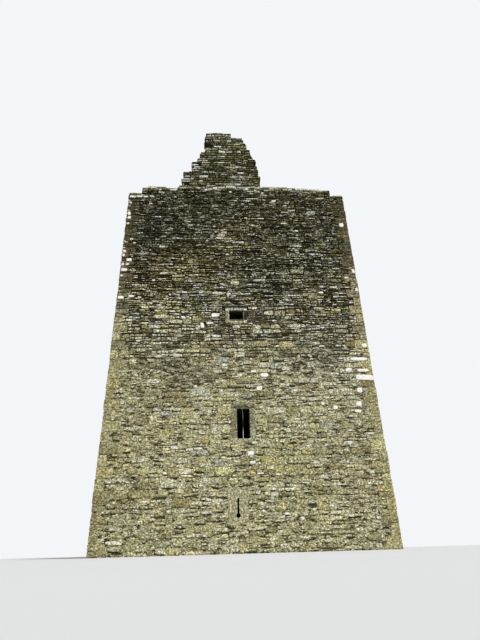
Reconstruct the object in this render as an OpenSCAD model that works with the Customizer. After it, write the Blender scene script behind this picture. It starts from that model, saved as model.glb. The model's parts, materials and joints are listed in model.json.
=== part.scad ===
// Roofless tower house of rubble masonry with dressed quoins, the stump of a gable and its
// chimney at each end, a stone vault over the basement and a timber upper floor.
// Millimetres. The front face looks towards -Y, and the origin is on the ground under its middle.

/* [Tower] */
// Width of the front and rear faces
tower_w = 9750; // [8500:50:12000]
// Depth of the long sides
tower_d = 13100; // [11000:50:16000]
// Height of the wall head along the middle of each side
head_z = 15000; // [13000:50:18000]
// Thickness of the walls below the upper floor
lower_wall_t = 2000; // [1800:50:2200]
// Thickness of the walls above the upper floor
upper_wall_t = 1600; // [1500:50:1700]

/* [Wall head] */
// Length of the fallen stretch at each corner
corner_run = 560; // [300:20:900]
// Drop of the wall head at that stretch
corner_drop = 430; // [300:10:900]
// Distance from the corner at which the wall head reaches its full height
shoulder_run = 2150; // [1700:50:2250]
// Drop of the wall head between the two
shoulder_drop = 90; // [50:5:110]
// Thickness of the slabs that pave the wall head
walk_t = 120; // [115:5:200]

/* [Quoins] */
// Height of one course of quoins
quoin_h = 380; // [250:10:600]
// Length of the long arm of a quoin
quoin_long = 520; // [450:10:900]
// Length of the short arm of a quoin
quoin_short = 290; // [200:10:440]

/* [Proud slabs] */
// Projection of the long slabs that the weather has left proud of the upper walls
proud_out = 30; // [15:1:40]
// Height of one of those slabs
proud_h = 85; // [60:5:120]
// Number of courses that they lie in
proud_n = 6; // [4:1:8]
// Mean distance from the start of one run of them to the next
proud_run = 1350; // [1000:50:2000]
// Distance that they keep from the quoins and from the ends of the side walls
proud_margin = 40; // [20:5:100]

/* [Gable stumps] */
// Thickness of a gable
gable_t = 850; // [600:10:900]
// Distance from the middle of the face to the middle of the stack
gable_x = -510; // [-700:10:700]
// Height of the stump above the wall that carries it
gable_h = 4600; // [4200:50:5400]
// Height of one broken course on the flanks
gable_course = 230; // [150:10:400]
// Depth of the notches that fallen stones left on the flanks
gable_ragged = 65; // [0:5:100]
// Half width of the stack at its top
stack_half_w = 950; // [800:10:1100]
// Distance from the middle of the stack to the stump's left foot
left_foot_w = 2050; // [1700:10:2150]
// Height at which the left flank starts to step in
left_lean_z = 1600; // [800:50:1750]
// Height at which that step ends
left_shelf_z = 1850; // [1800:50:2100]
// Distance from the middle of the stack to the left flank above the step
left_shelf_w = 1550; // [1300:10:1650]
// Height of the upright piece above the step
left_shelf_h = 450; // [200:50:600]
// Height at which the left flank meets the stack
left_stack_z = 3350; // [2800:50:4000]
// Distance from the middle of the stack to the stump's right foot
right_foot_w = 1660; // [1500:10:2150]
// Height at which the right flank starts to lean in
right_lean_z = 1600; // [1200:50:2200]
// Height at which the right flank leans further
right_bend_z = 2600; // [2300:50:3000]
// Distance from the middle of the stack to the right flank at that height
right_bend_w = 1450; // [1150:10:1500]
// Height at which the right flank meets the stack
right_stack_z = 3900; // [3200:50:4100]
// Width of the corner that has fallen from the top of the stack
top_break_w = 640; // [300:10:700]
// Height of that corner
top_break_h = 300; // [100:10:600]
// Width of the flue
flue_w = 420; // [300:10:500]
// Depth of the flue
flue_d = 320; // [250:10:400]
// Length of the flue that is open
flue_open = 3000; // [1000:50:4000]

/* [Hall windows] */
// Width of the slit
hall_win_w = 440; // [300:10:520]
// Height of the slit
hall_win_h = 1040; // [700:10:1400]
// Height of the sill above the ground
hall_sill_z = 3530; // [3330:10:4200]
// Offset of the front and rear hall windows from the middle of the face
hall_win_x = -20; // [-400:10:400]
// Width of a hall window's jamb stones
hall_jamb_w = 200; // [150:5:320]
// Chamfer round the slit
hall_chamfer = 30; // [20:5:80]
// Height of a hall window's lintel
hall_lintel_h = 220; // [180:5:320]

/* [Upper windows] */
// Width of the light
upper_win_w = 550; // [350:10:650]
// Height of the light
upper_win_h = 430; // [300:10:700]
// Height of the sill above the ground
upper_sill_z = 8080; // [7700:10:9000]
// Offset of the front and rear upper windows from the middle of the face
upper_win_x = -180; // [-400:10:400]
// Width of an upper window's jamb stones
upper_jamb_w = 150; // [120:5:300]
// Chamfer round the light
upper_chamfer = 50; // [30:5:80]
// Height of an upper window's lintel
upper_lintel_h = 130; // [110:5:260]
// Height of the slab over each upper window
drip_h = 75; // [50:5:120]
// Projection of that slab from the wall face
drip_out = 70; // [20:5:90]
// Reach of that slab past the window stones on each side
drip_reach = 60; // [20:5:150]

/* [Window stones] */
// Height of a sill stone
sill_h = 140; // [100:5:180]
// Depth of the dressed stones into the wall
dressed_depth = 350; // [250:10:450]
// Fall of a sill over its depth
sill_fall = 30; // [10:5:60]
// Distance of the side windows from the middle of the long sides
side_win_y = 2600; // [1800:50:3300]

/* [Embrasures] */
// Widening of an embrasure behind the light on each side
embrasure_rebate = 60; // [30:5:100]
// Width of a hall embrasure at the inner face
hall_embrasure_w = 1150; // [900:10:1500]
// Height that a hall embrasure rises above its light
hall_embrasure_rise = 350; // [100:10:600]
// Width of an upper embrasure at the inner face
upper_embrasure_w = 1000; // [900:10:1400]
// Height that an upper embrasure rises above its light
upper_embrasure_rise = 450; // [100:10:800]
// Depth that an embrasure's floor lies below its light
embrasure_drop = 60; // [20:5:90]

/* [Gun loops] */
// Width of the slot
slot_w = 60; // [40:2:90]
// Height of the slot above the centre of the round hole
slot_h = 530; // [400:10:700]
// Diameter of the round hole
gun_hole_d = 140; // [110:5:220]
// Height of the round hole's centre above the ground
gun_hole_z = 1080; // [1000:5:1200]
// Offset of the front gun loop from the middle of the face
loop_x = -260; // [-500:10:500]
// Offset of the rear gun loop from the middle of the face
rear_loop_x = 1250; // [1150:10:1350]
// Width of the slab that the loop is cut in
loop_slab_w = 640; // [560:10:800]
// Margin of that slab below the round hole and above the slot
loop_margin = 130; // [100:5:200]
// Thickness of that slab
loop_slab_t = 250; // [180:10:320]
// Height of the lintel over the slab
loop_lintel_h = 180; // [120:5:240]
// Bearing of that lintel on each side of the slab
loop_bearing = 120; // [60:5:180]
// Width of a gun loop's embrasure behind the slab
loop_embrasure_w0 = 440; // [360:10:500]
// Width of a gun loop's embrasure at the inner face
loop_embrasure_w = 900; // [700:10:1000]

/* [Doorway] */
// Width of the doorway
door_w = 1000; // [800:10:1100]
// Height of the arch's springing above the floor
door_spring_h = 1350; // [1200:10:1400]
// Distance of the doorway from the middle of the rear face
door_x = 1000; // [950:10:1100]
// Width of the dressed stones round the doorway
door_stone_w = 260; // [200:10:320]
// Depth of those stones into the wall
door_stone_t = 400; // [300:10:500]
// Chamfer round the doorway
door_chamfer = 60; // [30:5:90]
// Widening of the passage behind those stones on each side
door_rebate = 130; // [80:5:180]

/* [Vault and floors] */
// Thickness of the basement paving
basement_paving_t = 150; // [100:10:180]
// Width of the ledge that the vault springs from
vault_ledge = 150; // [100:10:200]
// Height of the springing
vault_spring_z = 900; // [800:10:1000]
// Height of the crown
vault_crown_z = 2750; // [2650:10:2850]
// Thickness of the masonry over the crown
vault_crown_t = 270; // [200:10:320]
// Thickness of the hall paving
hall_paving_t = 100; // [60:10:120]
// Height of the upper floor's boards
upper_floor_z = 7400; // [6800:50:7600]
// Thickness of the boards
board_t = 45; // [30:5:60]
// Height of a joist
joist_h = 300; // [200:10:400]
// Width of a joist
joist_w = 220; // [150:10:300]
// Number of joists
joist_n = 11; // [8:1:14]
// Height of the timbers that the joists rest on
plate_h = 150; // [100:10:200]
// Width of those timbers
plate_w = 220; // [150:10:280]
// Gap between the ends of timbers and the masonry
timber_gap = 10; // [5:1:20]

/* [Hidden] */

rubble_colour = [0.42, 0.40, 0.32];
dressed_colour = [0.58, 0.54, 0.42];
slab_colour = [0.50, 0.49, 0.44];
timber_colour = [0.38, 0.27, 0.17];

// How far a cut runs past a face, and the facets of round work
past = 20;
round_fn = 180;

// Angle from one broken course to the next in the waves that scatter their lengths and places
scatter_turn = 137;

// Half sizes of the tower, and of the rooms inside its lower and upper walls
half_w = tower_w / 2;
half_d = tower_d / 2;
room_half_w = half_w - lower_wall_t;
room_half_d = half_d - lower_wall_t;
loft_half_w = half_w - upper_wall_t;
loft_half_d = half_d - upper_wall_t;

// Tops of the masonry under the slabs of the wall head
wall_top = head_z - walk_t;
shoulder_top = wall_top - shoulder_drop;
corner_top = wall_top - corner_drop;

// Underside of the joists, and of the timbers that carry them along the ledge
joist_z = upper_floor_z - board_t - joist_h;
ledge_z = joist_z - plate_h;

// The vault's curve, from its springing on the two ledges to its crown
vault_half_span = room_half_w - vault_ledge;
vault_rise = vault_crown_z - vault_spring_z;
vault_r = (vault_half_span * vault_half_span + vault_rise * vault_rise) / (2 * vault_rise);
vault_top = vault_crown_z + vault_crown_t;

// The gable stands on the inner part of the wall head, behind the wall walk
walk_w = upper_wall_t - gable_t;

// Distance from the middle of the stack to each flank, at heights above the wall
left_flank = [
    [0, left_foot_w], [left_lean_z, left_foot_w], [left_shelf_z, left_shelf_w],
    [left_shelf_z + left_shelf_h, left_shelf_w], [left_stack_z, stack_half_w], [gable_h, stack_half_w]
];
right_flank = [
    [0, right_foot_w], [right_lean_z, right_foot_w], [right_bend_z, right_bend_w],
    [right_stack_z, stack_half_w], [gable_h, stack_half_w]
];

// The proud slabs lie between the upper windows' drip slabs and the shoulders of the wall head.
// Their runs share out each step along the face, and rise or sink a little from their course.
proud_z = upper_sill_z + upper_win_h + upper_lintel_h + drip_h;
proud_rise = (shoulder_top - proud_z) / proud_n;
proud_share = 0.5;
proud_share_swing = 0.22;
proud_shift_swing = 0.12;
proud_z_swing = 0.2;

// The doorway's arch
arch_r = door_w / 2;
arch_outer_r = arch_r + door_stone_w;
arch_z = basement_paving_t + door_spring_h;

// The gun loop's slab
loop_slab_z = gun_hole_z - gun_hole_d / 2 - loop_margin;
loop_lintel_z = gun_hole_z + slot_h + loop_margin;

// Each of these puts its children on one face: x runs along the face to the right of
// someone who looks at it from outside, y runs into the wall, and z is the height.
module on_front(x = 0) translate([x, -half_d, 0]) children();
module on_rear(x = 0) translate([-x, half_d, 0]) rotate([0, 0, 180]) children();
module on_right(x = 0) translate([half_w, x, 0]) rotate([0, 0, 90]) children();
module on_left(x = 0) translate([-half_w, -x, 0]) rotate([0, 0, -90]) children();

// Puts its children at the two windows of both long sides
module on_sides() {
    for (x = [-side_win_y, side_win_y]) {
        on_left(x) children();
        on_right(x) children();
    }
}

// A box on one face, w wide and t thick, from z0 to z1
module face_box(w, t, z0, z1, y0 = 0) {
    translate([-w / 2, y0, z0]) cube([w, t, z1 - z0]);
}

// A section drawn in y and z, run along a face
module along_face(length) {
    translate([-length / 2, 0, 0]) rotate([90, 0, 90]) linear_extrude(height = length) children();
}

// A cylinder that runs into the wall at height z
module round_bar(r, z, y0, y1) {
    translate([0, y0, z]) rotate([-90, 0, 0]) cylinder(r = r, h = y1 - y0, $fn = round_fn);
}

// A splayed space, w0 wide at depth y0 and w1 wide where it meets the inner face
module splay(w0, y0, w1, wall_t, z0, z1) {
    translate([0, 0, z0]) linear_extrude(height = z1 - z0) polygon([
        [-w0 / 2, y0 - past], [w0 / 2, y0 - past], [w0 / 2, y0], [w1 / 2, wall_t],
        [w1 / 2, wall_t + past], [-w1 / 2, wall_t + past], [-w1 / 2, wall_t], [-w0 / 2, y0]
    ]);
}

// What a window takes out of the wall: the bed of its stones, and the embrasure behind them
module window_cut(w, jamb_w, h, lintel_h, sill_z, wall_t, inner_w, rise) {
    face_box(
        w + 2 * jamb_w, dressed_depth + past, sill_z - sill_h, sill_z + h + lintel_h, -past
    );
    splay(
        w + 2 * embrasure_rebate, dressed_depth, inner_w, wall_t,
        sill_z - embrasure_drop, sill_z + h + rise
    );
}

module hall_window_cut() {
    window_cut(
        hall_win_w, hall_jamb_w, hall_win_h, hall_lintel_h, hall_sill_z,
        lower_wall_t, hall_embrasure_w, hall_embrasure_rise
    );
}

module upper_window_cut() {
    window_cut(
        upper_win_w, upper_jamb_w, upper_win_h, upper_lintel_h, upper_sill_z,
        upper_wall_t, upper_embrasure_w, upper_embrasure_rise
    );
    drip_slab(past);
}

// The bevel round a light, wide at the face and closed at its own depth
module light_bevel(w, h, sill_z, c) {
    intersection() {
        translate([0, 0, sill_z]) linear_extrude(height = h + c) polygon([
            [-w / 2 - c - past, -past], [w / 2 + c + past, -past], [w / 2, c], [-w / 2, c]
        ]);
        translate([0, 0, sill_z]) along_face(w + 2 * (c + past))
            polygon([[-past, 0], [c, 0], [c, h], [-past, h + c + past]]);
    }
}

module window_lintel(w, jamb_w, h, lintel_h, sill_z, c) {
    color(dressed_colour) difference() {
        face_box(w + 2 * jamb_w, dressed_depth, sill_z + h, sill_z + h + lintel_h);
        light_bevel(w, h, sill_z, c);
    }
}

// The sill falls outwards between the jambs
module window_sill(w, jamb_w, sill_z) {
    color(dressed_colour) difference() {
        face_box(w + 2 * jamb_w, dressed_depth, sill_z - sill_h, sill_z);
        translate([0, 0, sill_z]) along_face(w) polygon([
            [-past, past], [-past, -sill_fall], [0, -sill_fall], [dressed_depth, 0], [dressed_depth, past]
        ]);
    }
}

module window_jambs(w, jamb_w, h, sill_z, c) {
    color(dressed_colour) for (side = [-1, 1]) {
        translate([side * w / 2, 0, sill_z]) linear_extrude(height = h) polygon([
            [0, dressed_depth], [0, c], [side * c, 0],
            [side * jamb_w, 0], [side * jamb_w, dressed_depth]
        ]);
    }
}

module hall_lintel()
    window_lintel(hall_win_w, hall_jamb_w, hall_win_h, hall_lintel_h, hall_sill_z, hall_chamfer);
module hall_sill() window_sill(hall_win_w, hall_jamb_w, hall_sill_z);
module hall_jambs() window_jambs(hall_win_w, hall_jamb_w, hall_win_h, hall_sill_z, hall_chamfer);
module upper_lintel()
    window_lintel(upper_win_w, upper_jamb_w, upper_win_h, upper_lintel_h, upper_sill_z, upper_chamfer);
module upper_sill() window_sill(upper_win_w, upper_jamb_w, upper_sill_z);
module upper_jambs() window_jambs(upper_win_w, upper_jamb_w, upper_win_h, upper_sill_z, upper_chamfer);

// The slab that throws rain off an upper window's lintel
module drip_slab(out = drip_out) {
    z0 = upper_sill_z + upper_win_h + upper_lintel_h;
    w = upper_win_w + 2 * (upper_jamb_w + drip_reach);
    color(slab_colour) face_box(w, dressed_depth + out, z0, z0 + drip_h, -out);
}

module other_drip_slabs() {
    on_sides() drip_slab();
    on_rear(upper_win_x) drip_slab();
}

// A gun loop's bed in the wall, and the embrasure behind it
module gun_loop_cut() {
    face_box(loop_slab_w, loop_slab_t + past, loop_slab_z, loop_lintel_z, -past);
    face_box(
        loop_slab_w + 2 * loop_bearing, loop_slab_t + past,
        loop_lintel_z, loop_lintel_z + loop_lintel_h, -past
    );
    splay(
        loop_embrasure_w0, loop_slab_t, loop_embrasure_w, lower_wall_t,
        loop_slab_z, loop_lintel_z
    );
}

// A slab with an inverted keyhole cut through it
module gun_loop_slab() {
    color(dressed_colour) difference() {
        face_box(loop_slab_w, loop_slab_t, loop_slab_z, loop_lintel_z);
        face_box(slot_w, loop_slab_t + 2 * past, gun_hole_z, gun_hole_z + slot_h, -past);
        round_bar(gun_hole_d / 2, gun_hole_z, -past, loop_slab_t + past);
    }
}

module gun_loop_lintel() {
    color(dressed_colour) face_box(
        loop_slab_w + 2 * loop_bearing, loop_slab_t, loop_lintel_z, loop_lintel_z + loop_lintel_h
    );
}

// The bed of the doorway's stones, and the arched passage behind them
module doorway_cut() {
    passage_r = arch_r + door_rebate;
    face_box(2 * arch_outer_r, door_stone_t + past, -past, arch_z, -past);
    round_bar(arch_outer_r, arch_z, -past, door_stone_t);
    face_box(
        2 * passage_r, lower_wall_t - door_stone_t + 2 * past,
        basement_paving_t, arch_z, door_stone_t - past
    );
    round_bar(passage_r, arch_z, door_stone_t - past, lower_wall_t + past);
}

module door_jambs() {
    color(dressed_colour) on_rear(-door_x) for (side = [-1, 1]) {
        translate([side * arch_r, 0, 0]) linear_extrude(height = arch_z) polygon([
            [0, door_stone_t], [0, door_chamfer], [side * door_chamfer, 0],
            [side * door_stone_w, 0], [side * door_stone_w, door_stone_t]
        ]);
    }
}

module door_arch() {
    color(dressed_colour) on_rear(-door_x) difference() {
        round_bar(arch_outer_r, arch_z, 0, door_stone_t);
        round_bar(arch_r, arch_z, -past, door_stone_t + past);
        translate([0, -past, arch_z]) rotate([-90, 0, 0]) cylinder(
            r1 = arch_r + door_chamfer + past, r2 = arch_r, h = door_chamfer + past, $fn = round_fn
        );
        face_box(
            2 * (arch_outer_r + past), door_stone_t + 2 * past,
            arch_z - arch_outer_r - past, arch_z, -past
        );
    }
}

module door_threshold() {
    color(slab_colour) on_rear(-door_x) face_box(door_w, door_stone_t, 0, basement_paving_t);
}

// A block on one corner of the tower, which may reach past both of its faces
module corner_block(sx, sy, run_x, run_y, z0, z1, over = 0) {
    x0 = sx > 0 ? half_w - run_x : -half_w - over;
    y0 = sy > 0 ? half_d - run_y : -half_d - over;
    translate([x0, y0, z0]) cube([run_x + over, run_y + over, z1 - z0]);
}

// One corner's quoins: by turns, the long arm lies along the front or rear and along the side
module quoin_column(sx, sy, over = 0) {
    for (i = [0 : ceil(corner_top / quoin_h) - 1]) {
        along_front = i % 2 == 0;
        corner_block(
            sx, sy, along_front ? quoin_long : quoin_short, along_front ? quoin_short : quoin_long,
            i * quoin_h, min((i + 1) * quoin_h, corner_top), over
        );
    }
}

module quoins(sx, sy) color(dressed_colour) quoin_column(sx, sy);

// What has fallen from the masonry at the four corners of the wall head
module fallen_corners() {
    for (sx = [-1, 1], sy = [-1, 1]) {
        corner_block(sx, sy, shoulder_run, shoulder_run, shoulder_top, wall_top + past, past);
        corner_block(sx, sy, corner_run, corner_run, corner_top, wall_top + past, past);
    }
}

// One run of proud slabs, worn off at its ends, from x0 along a face
module proud_slab_run(x0, length, z) {
    translate([x0, 0, z]) linear_extrude(height = proud_h) polygon([
        [0, past], [0, 0], [proud_out, -proud_out],
        [length - proud_out, -proud_out], [length, 0], [length, past]
    ]);
}

// Courses of proud slabs in broken runs, as far as reach from the middle of a face
module proud_slabs(reach) {
    runs = floor(2 * reach / proud_run);
    step = 2 * reach / runs;
    for (i = [0 : proud_n - 1], k = [0 : runs - 1]) {
        turn = (i * runs + k) * scatter_turn;
        length = step * (proud_share + proud_share_swing * sin(turn));
        middle = -reach + step * (k + 0.5 + proud_shift_swing * sin(2 * turn));
        z = proud_z + proud_rise * (i + 0.5 + proud_z_swing * sin(3 * turn));
        proud_slab_run(middle - length / 2, length, z - proud_h / 2);
    }
}

// An end wall runs the full width of the tower. A ledge inside it is level with the side walls' one.
module end_wall() {
    difference() {
        union() {
            along_face(tower_w) polygon([
                [0, 0], [lower_wall_t, 0], [lower_wall_t, ledge_z],
                [upper_wall_t, ledge_z], [upper_wall_t, wall_top], [0, wall_top]
            ]);
            proud_slabs(half_w - quoin_long - proud_margin);
        }
        translate([hall_win_x, 0, 0]) hall_window_cut();
        translate([upper_win_x, 0, 0]) upper_window_cut();
        children();
    }
}

// A side wall stands between the end walls. Its foot is wider by the ledge of the vault.
module side_wall() {
    difference() {
        union() {
            along_face(2 * room_half_d) polygon([
                [0, 0], [lower_wall_t + vault_ledge, 0], [lower_wall_t + vault_ledge, vault_spring_z],
                [lower_wall_t, vault_spring_z], [lower_wall_t, ledge_z], [0, ledge_z]
            ]);
            face_box(2 * loft_half_d, upper_wall_t, ledge_z, wall_top);
            proud_slabs(loft_half_d - proud_margin);
        }
        for (x = [-side_win_y, side_win_y]) translate([x, 0, 0]) {
            hall_window_cut();
            upper_window_cut();
        }
    }
}

module front_wall() {
    color(rubble_colour) difference() {
        on_front() end_wall() translate([loop_x, 0, 0]) gun_loop_cut();
        quoin_column(-1, -1, past);
        quoin_column(1, -1, past);
        fallen_corners();
    }
}

module rear_wall() {
    color(rubble_colour) difference() {
        on_rear() end_wall() {
            translate([rear_loop_x, 0, 0]) gun_loop_cut();
            translate([-door_x, 0, 0]) doorway_cut();
        }
        quoin_column(-1, 1, past);
        quoin_column(1, 1, past);
        fallen_corners();
    }
}

module left_wall() {
    color(rubble_colour) difference() {
        on_left() side_wall();
        fallen_corners();
    }
}

module right_wall() {
    color(rubble_colour) difference() {
        on_right() side_wall();
        fallen_corners();
    }
}

// Distance of a broken flank from the middle of the stack at one course. The lowest is whole.
function flank_at(flank, i, turn) =
    lookup(i * gable_course, flank) + (i == 0 ? 0 : gable_ragged * sin((i + turn) * scatter_turn));

function course_z(i) = min(i * gable_course, gable_h);

// The stump of a gable with its chimney: flanks broken in courses, and a flue down the stack
module gable() {
    last = ceil(gable_h / gable_course) - 1;
    right_edge = [for (i = [0 : last], top = [0, 1]) [flank_at(right_flank, i, 0), course_z(i + top)]];
    left_edge = [for (i = [last : -1 : 0], top = [1, 0]) [-flank_at(left_flank, i, 1), course_z(i + top)]];
    color(rubble_colour) translate([gable_x, walk_w, wall_top]) difference() {
        translate([0, gable_t, 0]) rotate([90, 0, 0]) linear_extrude(height = gable_t)
            polygon(concat(right_edge, left_edge));
        translate([stack_half_w - top_break_w, -past, gable_h - top_break_h])
            cube([top_break_w + left_foot_w, gable_t + 2 * past, top_break_h + past]);
        translate([-flue_w / 2, (gable_t - flue_d) / 2, gable_h - flue_open])
            cube([flue_w, flue_d, flue_open + past]);
    }
}

// The slabs on top of an end wall, in front of the gable and beside it
module end_wall_walk() {
    color(slab_colour) difference() {
        face_box(tower_w - 2 * shoulder_run, upper_wall_t, wall_top, head_z);
        translate([gable_x - left_foot_w, walk_w, wall_top - past])
            cube([left_foot_w + right_foot_w, gable_t + past, walk_t + 2 * past]);
    }
}

module side_wall_walk() {
    color(slab_colour) face_box(tower_d - 2 * shoulder_run, upper_wall_t, wall_top, head_z);
}

// The slabs on the lower steps of the wall head at the corners
module corner_slabs() {
    color(slab_colour) for (sx = [-1, 1], sy = [-1, 1]) {
        difference() {
            corner_block(sx, sy, shoulder_run, shoulder_run, shoulder_top, shoulder_top + walk_t);
            corner_block(sx, sy, corner_run, corner_run, shoulder_top - past, head_z, past);
            translate([-loft_half_w, -loft_half_d, shoulder_top - past])
                cube([2 * loft_half_w, 2 * loft_half_d, walk_t + 2 * past]);
        }
        corner_block(sx, sy, corner_run, corner_run, corner_top, corner_top + walk_t);
    }
}

// A box over the whole of a room
module room_box(half_x, half_y, z0, z1) {
    translate([-half_x, -half_y, z0]) cube([2 * half_x, 2 * half_y, z1 - z0]);
}

module basement_paving() {
    color(slab_colour) room_box(room_half_w - vault_ledge, room_half_d, 0, basement_paving_t);
}

// A barrel vault between the side walls, levelled up on top to carry the hall's paving
module vault() {
    color(rubble_colour) translate([0, room_half_d, 0]) rotate([90, 0, 0])
        linear_extrude(height = 2 * room_half_d) difference() {
            translate([-room_half_w, vault_spring_z])
                square([2 * room_half_w, vault_top - vault_spring_z]);
            translate([0, vault_crown_z - vault_r]) circle(r = vault_r, $fn = round_fn);
        }
}

module hall_paving() {
    color(slab_colour) room_box(room_half_w, room_half_d, vault_top, vault_top + hall_paving_t);
}

// A timber along each side wall's ledge
module upper_floor_plates() {
    color(timber_colour) for (side = [-1, 1]) {
        translate([side * (room_half_w + plate_w / 2), 0, 0])
            room_box(plate_w / 2, loft_half_d - timber_gap, ledge_z, joist_z);
    }
}

module upper_floor_joists() {
    first_y = -loft_half_d + timber_gap + joist_w / 2;
    spacing = -2 * first_y / (joist_n - 1);
    color(timber_colour) for (i = [0 : joist_n - 1]) {
        translate([0, first_y + i * spacing, 0])
            room_box(loft_half_w - timber_gap, joist_w / 2, joist_z, joist_z + joist_h);
    }
}

module upper_floor_boards() {
    color(timber_colour) room_box(
        loft_half_w - timber_gap, loft_half_d - timber_gap, upper_floor_z - board_t, upper_floor_z
    );
}

front_wall();
rear_wall();
left_wall();
right_wall();
quoins(-1, -1);  // front_left_quoins
quoins(1, -1);  // front_right_quoins
quoins(-1, 1);  // rear_left_quoins
quoins(1, 1);  // rear_right_quoins
on_front() gable();  // front_gable
mirror([0, 1, 0]) on_front() gable();  // rear_gable
on_front() end_wall_walk();  // front_wall_walk
mirror([0, 1, 0]) on_front() end_wall_walk();  // rear_wall_walk
on_left() side_wall_walk();  // left_wall_walk
on_right() side_wall_walk();  // right_wall_walk
corner_slabs();
on_front(hall_win_x) hall_lintel();  // front_hall_window_lintel
on_front(hall_win_x) hall_sill();  // front_hall_window_sill
on_front(hall_win_x) hall_jambs();  // front_hall_window_jambs
on_front(upper_win_x) upper_lintel();  // front_upper_window_lintel
on_front(upper_win_x) upper_sill();  // front_upper_window_sill
on_front(upper_win_x) upper_jambs();  // front_upper_window_jambs
on_front(upper_win_x) drip_slab();  // front_upper_window_drip
on_front(loop_x) gun_loop_slab();  // front_gun_loop_slab
on_front(loop_x) gun_loop_lintel();  // front_gun_loop_lintel
on_rear(hall_win_x) hall_lintel();  // rear_hall_window_lintel
on_rear(hall_win_x) hall_sill();  // rear_hall_window_sill
on_rear(hall_win_x) hall_jambs();  // rear_hall_window_jambs
on_rear(upper_win_x) upper_lintel();  // rear_upper_window_lintel
on_rear(upper_win_x) upper_sill();  // rear_upper_window_sill
on_rear(upper_win_x) upper_jambs();  // rear_upper_window_jambs
on_rear(rear_loop_x) gun_loop_slab();  // rear_gun_loop_slab
on_rear(rear_loop_x) gun_loop_lintel();  // rear_gun_loop_lintel
on_sides() { hall_lintel(); upper_lintel(); }  // side_window_lintels
on_sides() { hall_sill(); upper_sill(); }  // side_window_sills
on_sides() { hall_jambs(); upper_jambs(); }  // side_window_jambs
other_drip_slabs();  // other_window_drips
door_jambs();
door_arch();
door_threshold();
basement_paving();
vault();
hall_paving();
upper_floor_plates();
upper_floor_joists();
upper_floor_boards();
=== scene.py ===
import json
import math
import random

import bpy
import numpy as np
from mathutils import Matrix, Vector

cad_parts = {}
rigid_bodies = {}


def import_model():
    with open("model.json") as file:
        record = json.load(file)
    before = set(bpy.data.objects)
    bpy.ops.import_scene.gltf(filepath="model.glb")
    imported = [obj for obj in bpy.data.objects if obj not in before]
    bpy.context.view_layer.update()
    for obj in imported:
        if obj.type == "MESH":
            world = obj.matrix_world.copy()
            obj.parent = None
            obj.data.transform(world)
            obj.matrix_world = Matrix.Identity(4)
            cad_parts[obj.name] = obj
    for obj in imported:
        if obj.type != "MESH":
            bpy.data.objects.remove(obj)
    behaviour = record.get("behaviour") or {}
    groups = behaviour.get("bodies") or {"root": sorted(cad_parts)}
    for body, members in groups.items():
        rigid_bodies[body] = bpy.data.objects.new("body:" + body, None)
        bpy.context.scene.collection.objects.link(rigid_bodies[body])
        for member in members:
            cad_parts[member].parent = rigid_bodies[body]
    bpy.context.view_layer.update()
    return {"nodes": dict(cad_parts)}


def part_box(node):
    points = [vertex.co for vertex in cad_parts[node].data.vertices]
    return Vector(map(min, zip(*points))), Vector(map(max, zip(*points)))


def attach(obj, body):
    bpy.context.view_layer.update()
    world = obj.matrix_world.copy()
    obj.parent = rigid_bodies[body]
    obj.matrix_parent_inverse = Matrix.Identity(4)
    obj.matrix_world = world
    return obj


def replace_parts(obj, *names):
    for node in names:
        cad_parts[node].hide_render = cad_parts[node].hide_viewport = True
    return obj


for leftover in list(bpy.data.objects):
    bpy.data.objects.remove(leftover)

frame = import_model()
nodes = frame["nodes"]
scene = bpy.context.scene
print("frame loaded:", len(nodes), "nodes")

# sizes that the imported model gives
cornerLow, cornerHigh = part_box("front_right_quoins")
halfW, halfD = cornerHigh.x, -cornerLow.y
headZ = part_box("front_wall_walk")[1].z
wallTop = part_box("front_wall_walk")[0].z
loftW = -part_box("left_wall_walk")[1].x
loftD = -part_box("front_wall_walk")[1].y
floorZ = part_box("upper_floor_boards")[1].z
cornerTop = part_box("front_left_quoins")[1].z


# camera

cameraSet = {
    "place": (-0.988, -21.911, 0.062), "turn": (117.553, 1.468, -2.785), "lens": 24.975, "sensor": 36,
    "far": 500,
}


def makeCamera():
    data = bpy.data.cameras.new("viewCamera")
    data.sensor_fit = "VERTICAL"
    data.sensor_height = cameraSet["sensor"]
    data.lens = cameraSet["lens"]
    data.clip_end = cameraSet["far"]
    camera = bpy.data.objects.new("viewCamera", data)
    camera.location = cameraSet["place"]
    camera.rotation_euler = [math.radians(a) for a in cameraSet["turn"]]
    scene.collection.objects.link(camera)
    scene.camera = camera


makeCamera()
scene.view_settings.view_transform = "Standard"


# shader writing

# green and blue follow red's brightness by these powers, on a stone and in the painted shade at its lower
# arris
hueByLevel = {"green": 1.035, "blue": 1.24, "underGreen": 1.06, "underBlue": 1.45}


class Wire:
    # one value in a material; arithmetic on it adds Math nodes
    def __init__(self, shader, socket):
        self.shader, self.socket = shader, socket

    def maths(self, operation, *values):
        return self.shader.add("ShaderNodeMath", {"operation": operation}, dict(enumerate(values)))

    def __add__(self, other):
        return self.maths("ADD", self, other)

    def __radd__(self, other):
        return self.maths("ADD", other, self)

    def __sub__(self, other):
        return self.maths("SUBTRACT", self, other)

    def __rsub__(self, other):
        return self.maths("SUBTRACT", other, self)

    def __mul__(self, other):
        return self.maths("MULTIPLY", self, other)

    def __truediv__(self, other):
        return self.maths("DIVIDE", self, other)

    def __pow__(self, other):
        return self.maths("POWER", self, other)

    def __abs__(self):
        return self.maths("ABSOLUTE", self)

    def over(self, edge):
        return self.maths("GREATER_THAN", self, edge)

    def under(self, base):
        # base to the power of this
        return self.maths("POWER", base, self)

    def larger(self, other):
        return self.maths("MAXIMUM", self, other)

    def smaller(self, other):
        return self.maths("MINIMUM", self, other)

    def between(self, low, high):
        # 0 below low, 1 above high, smooth between them
        values = {0: self, 1: low, 2: high, 3: 0, 4: 1}
        return self.shader.add("ShaderNodeMapRange", {"interpolation_type": "SMOOTHSTEP"}, values)


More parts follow.
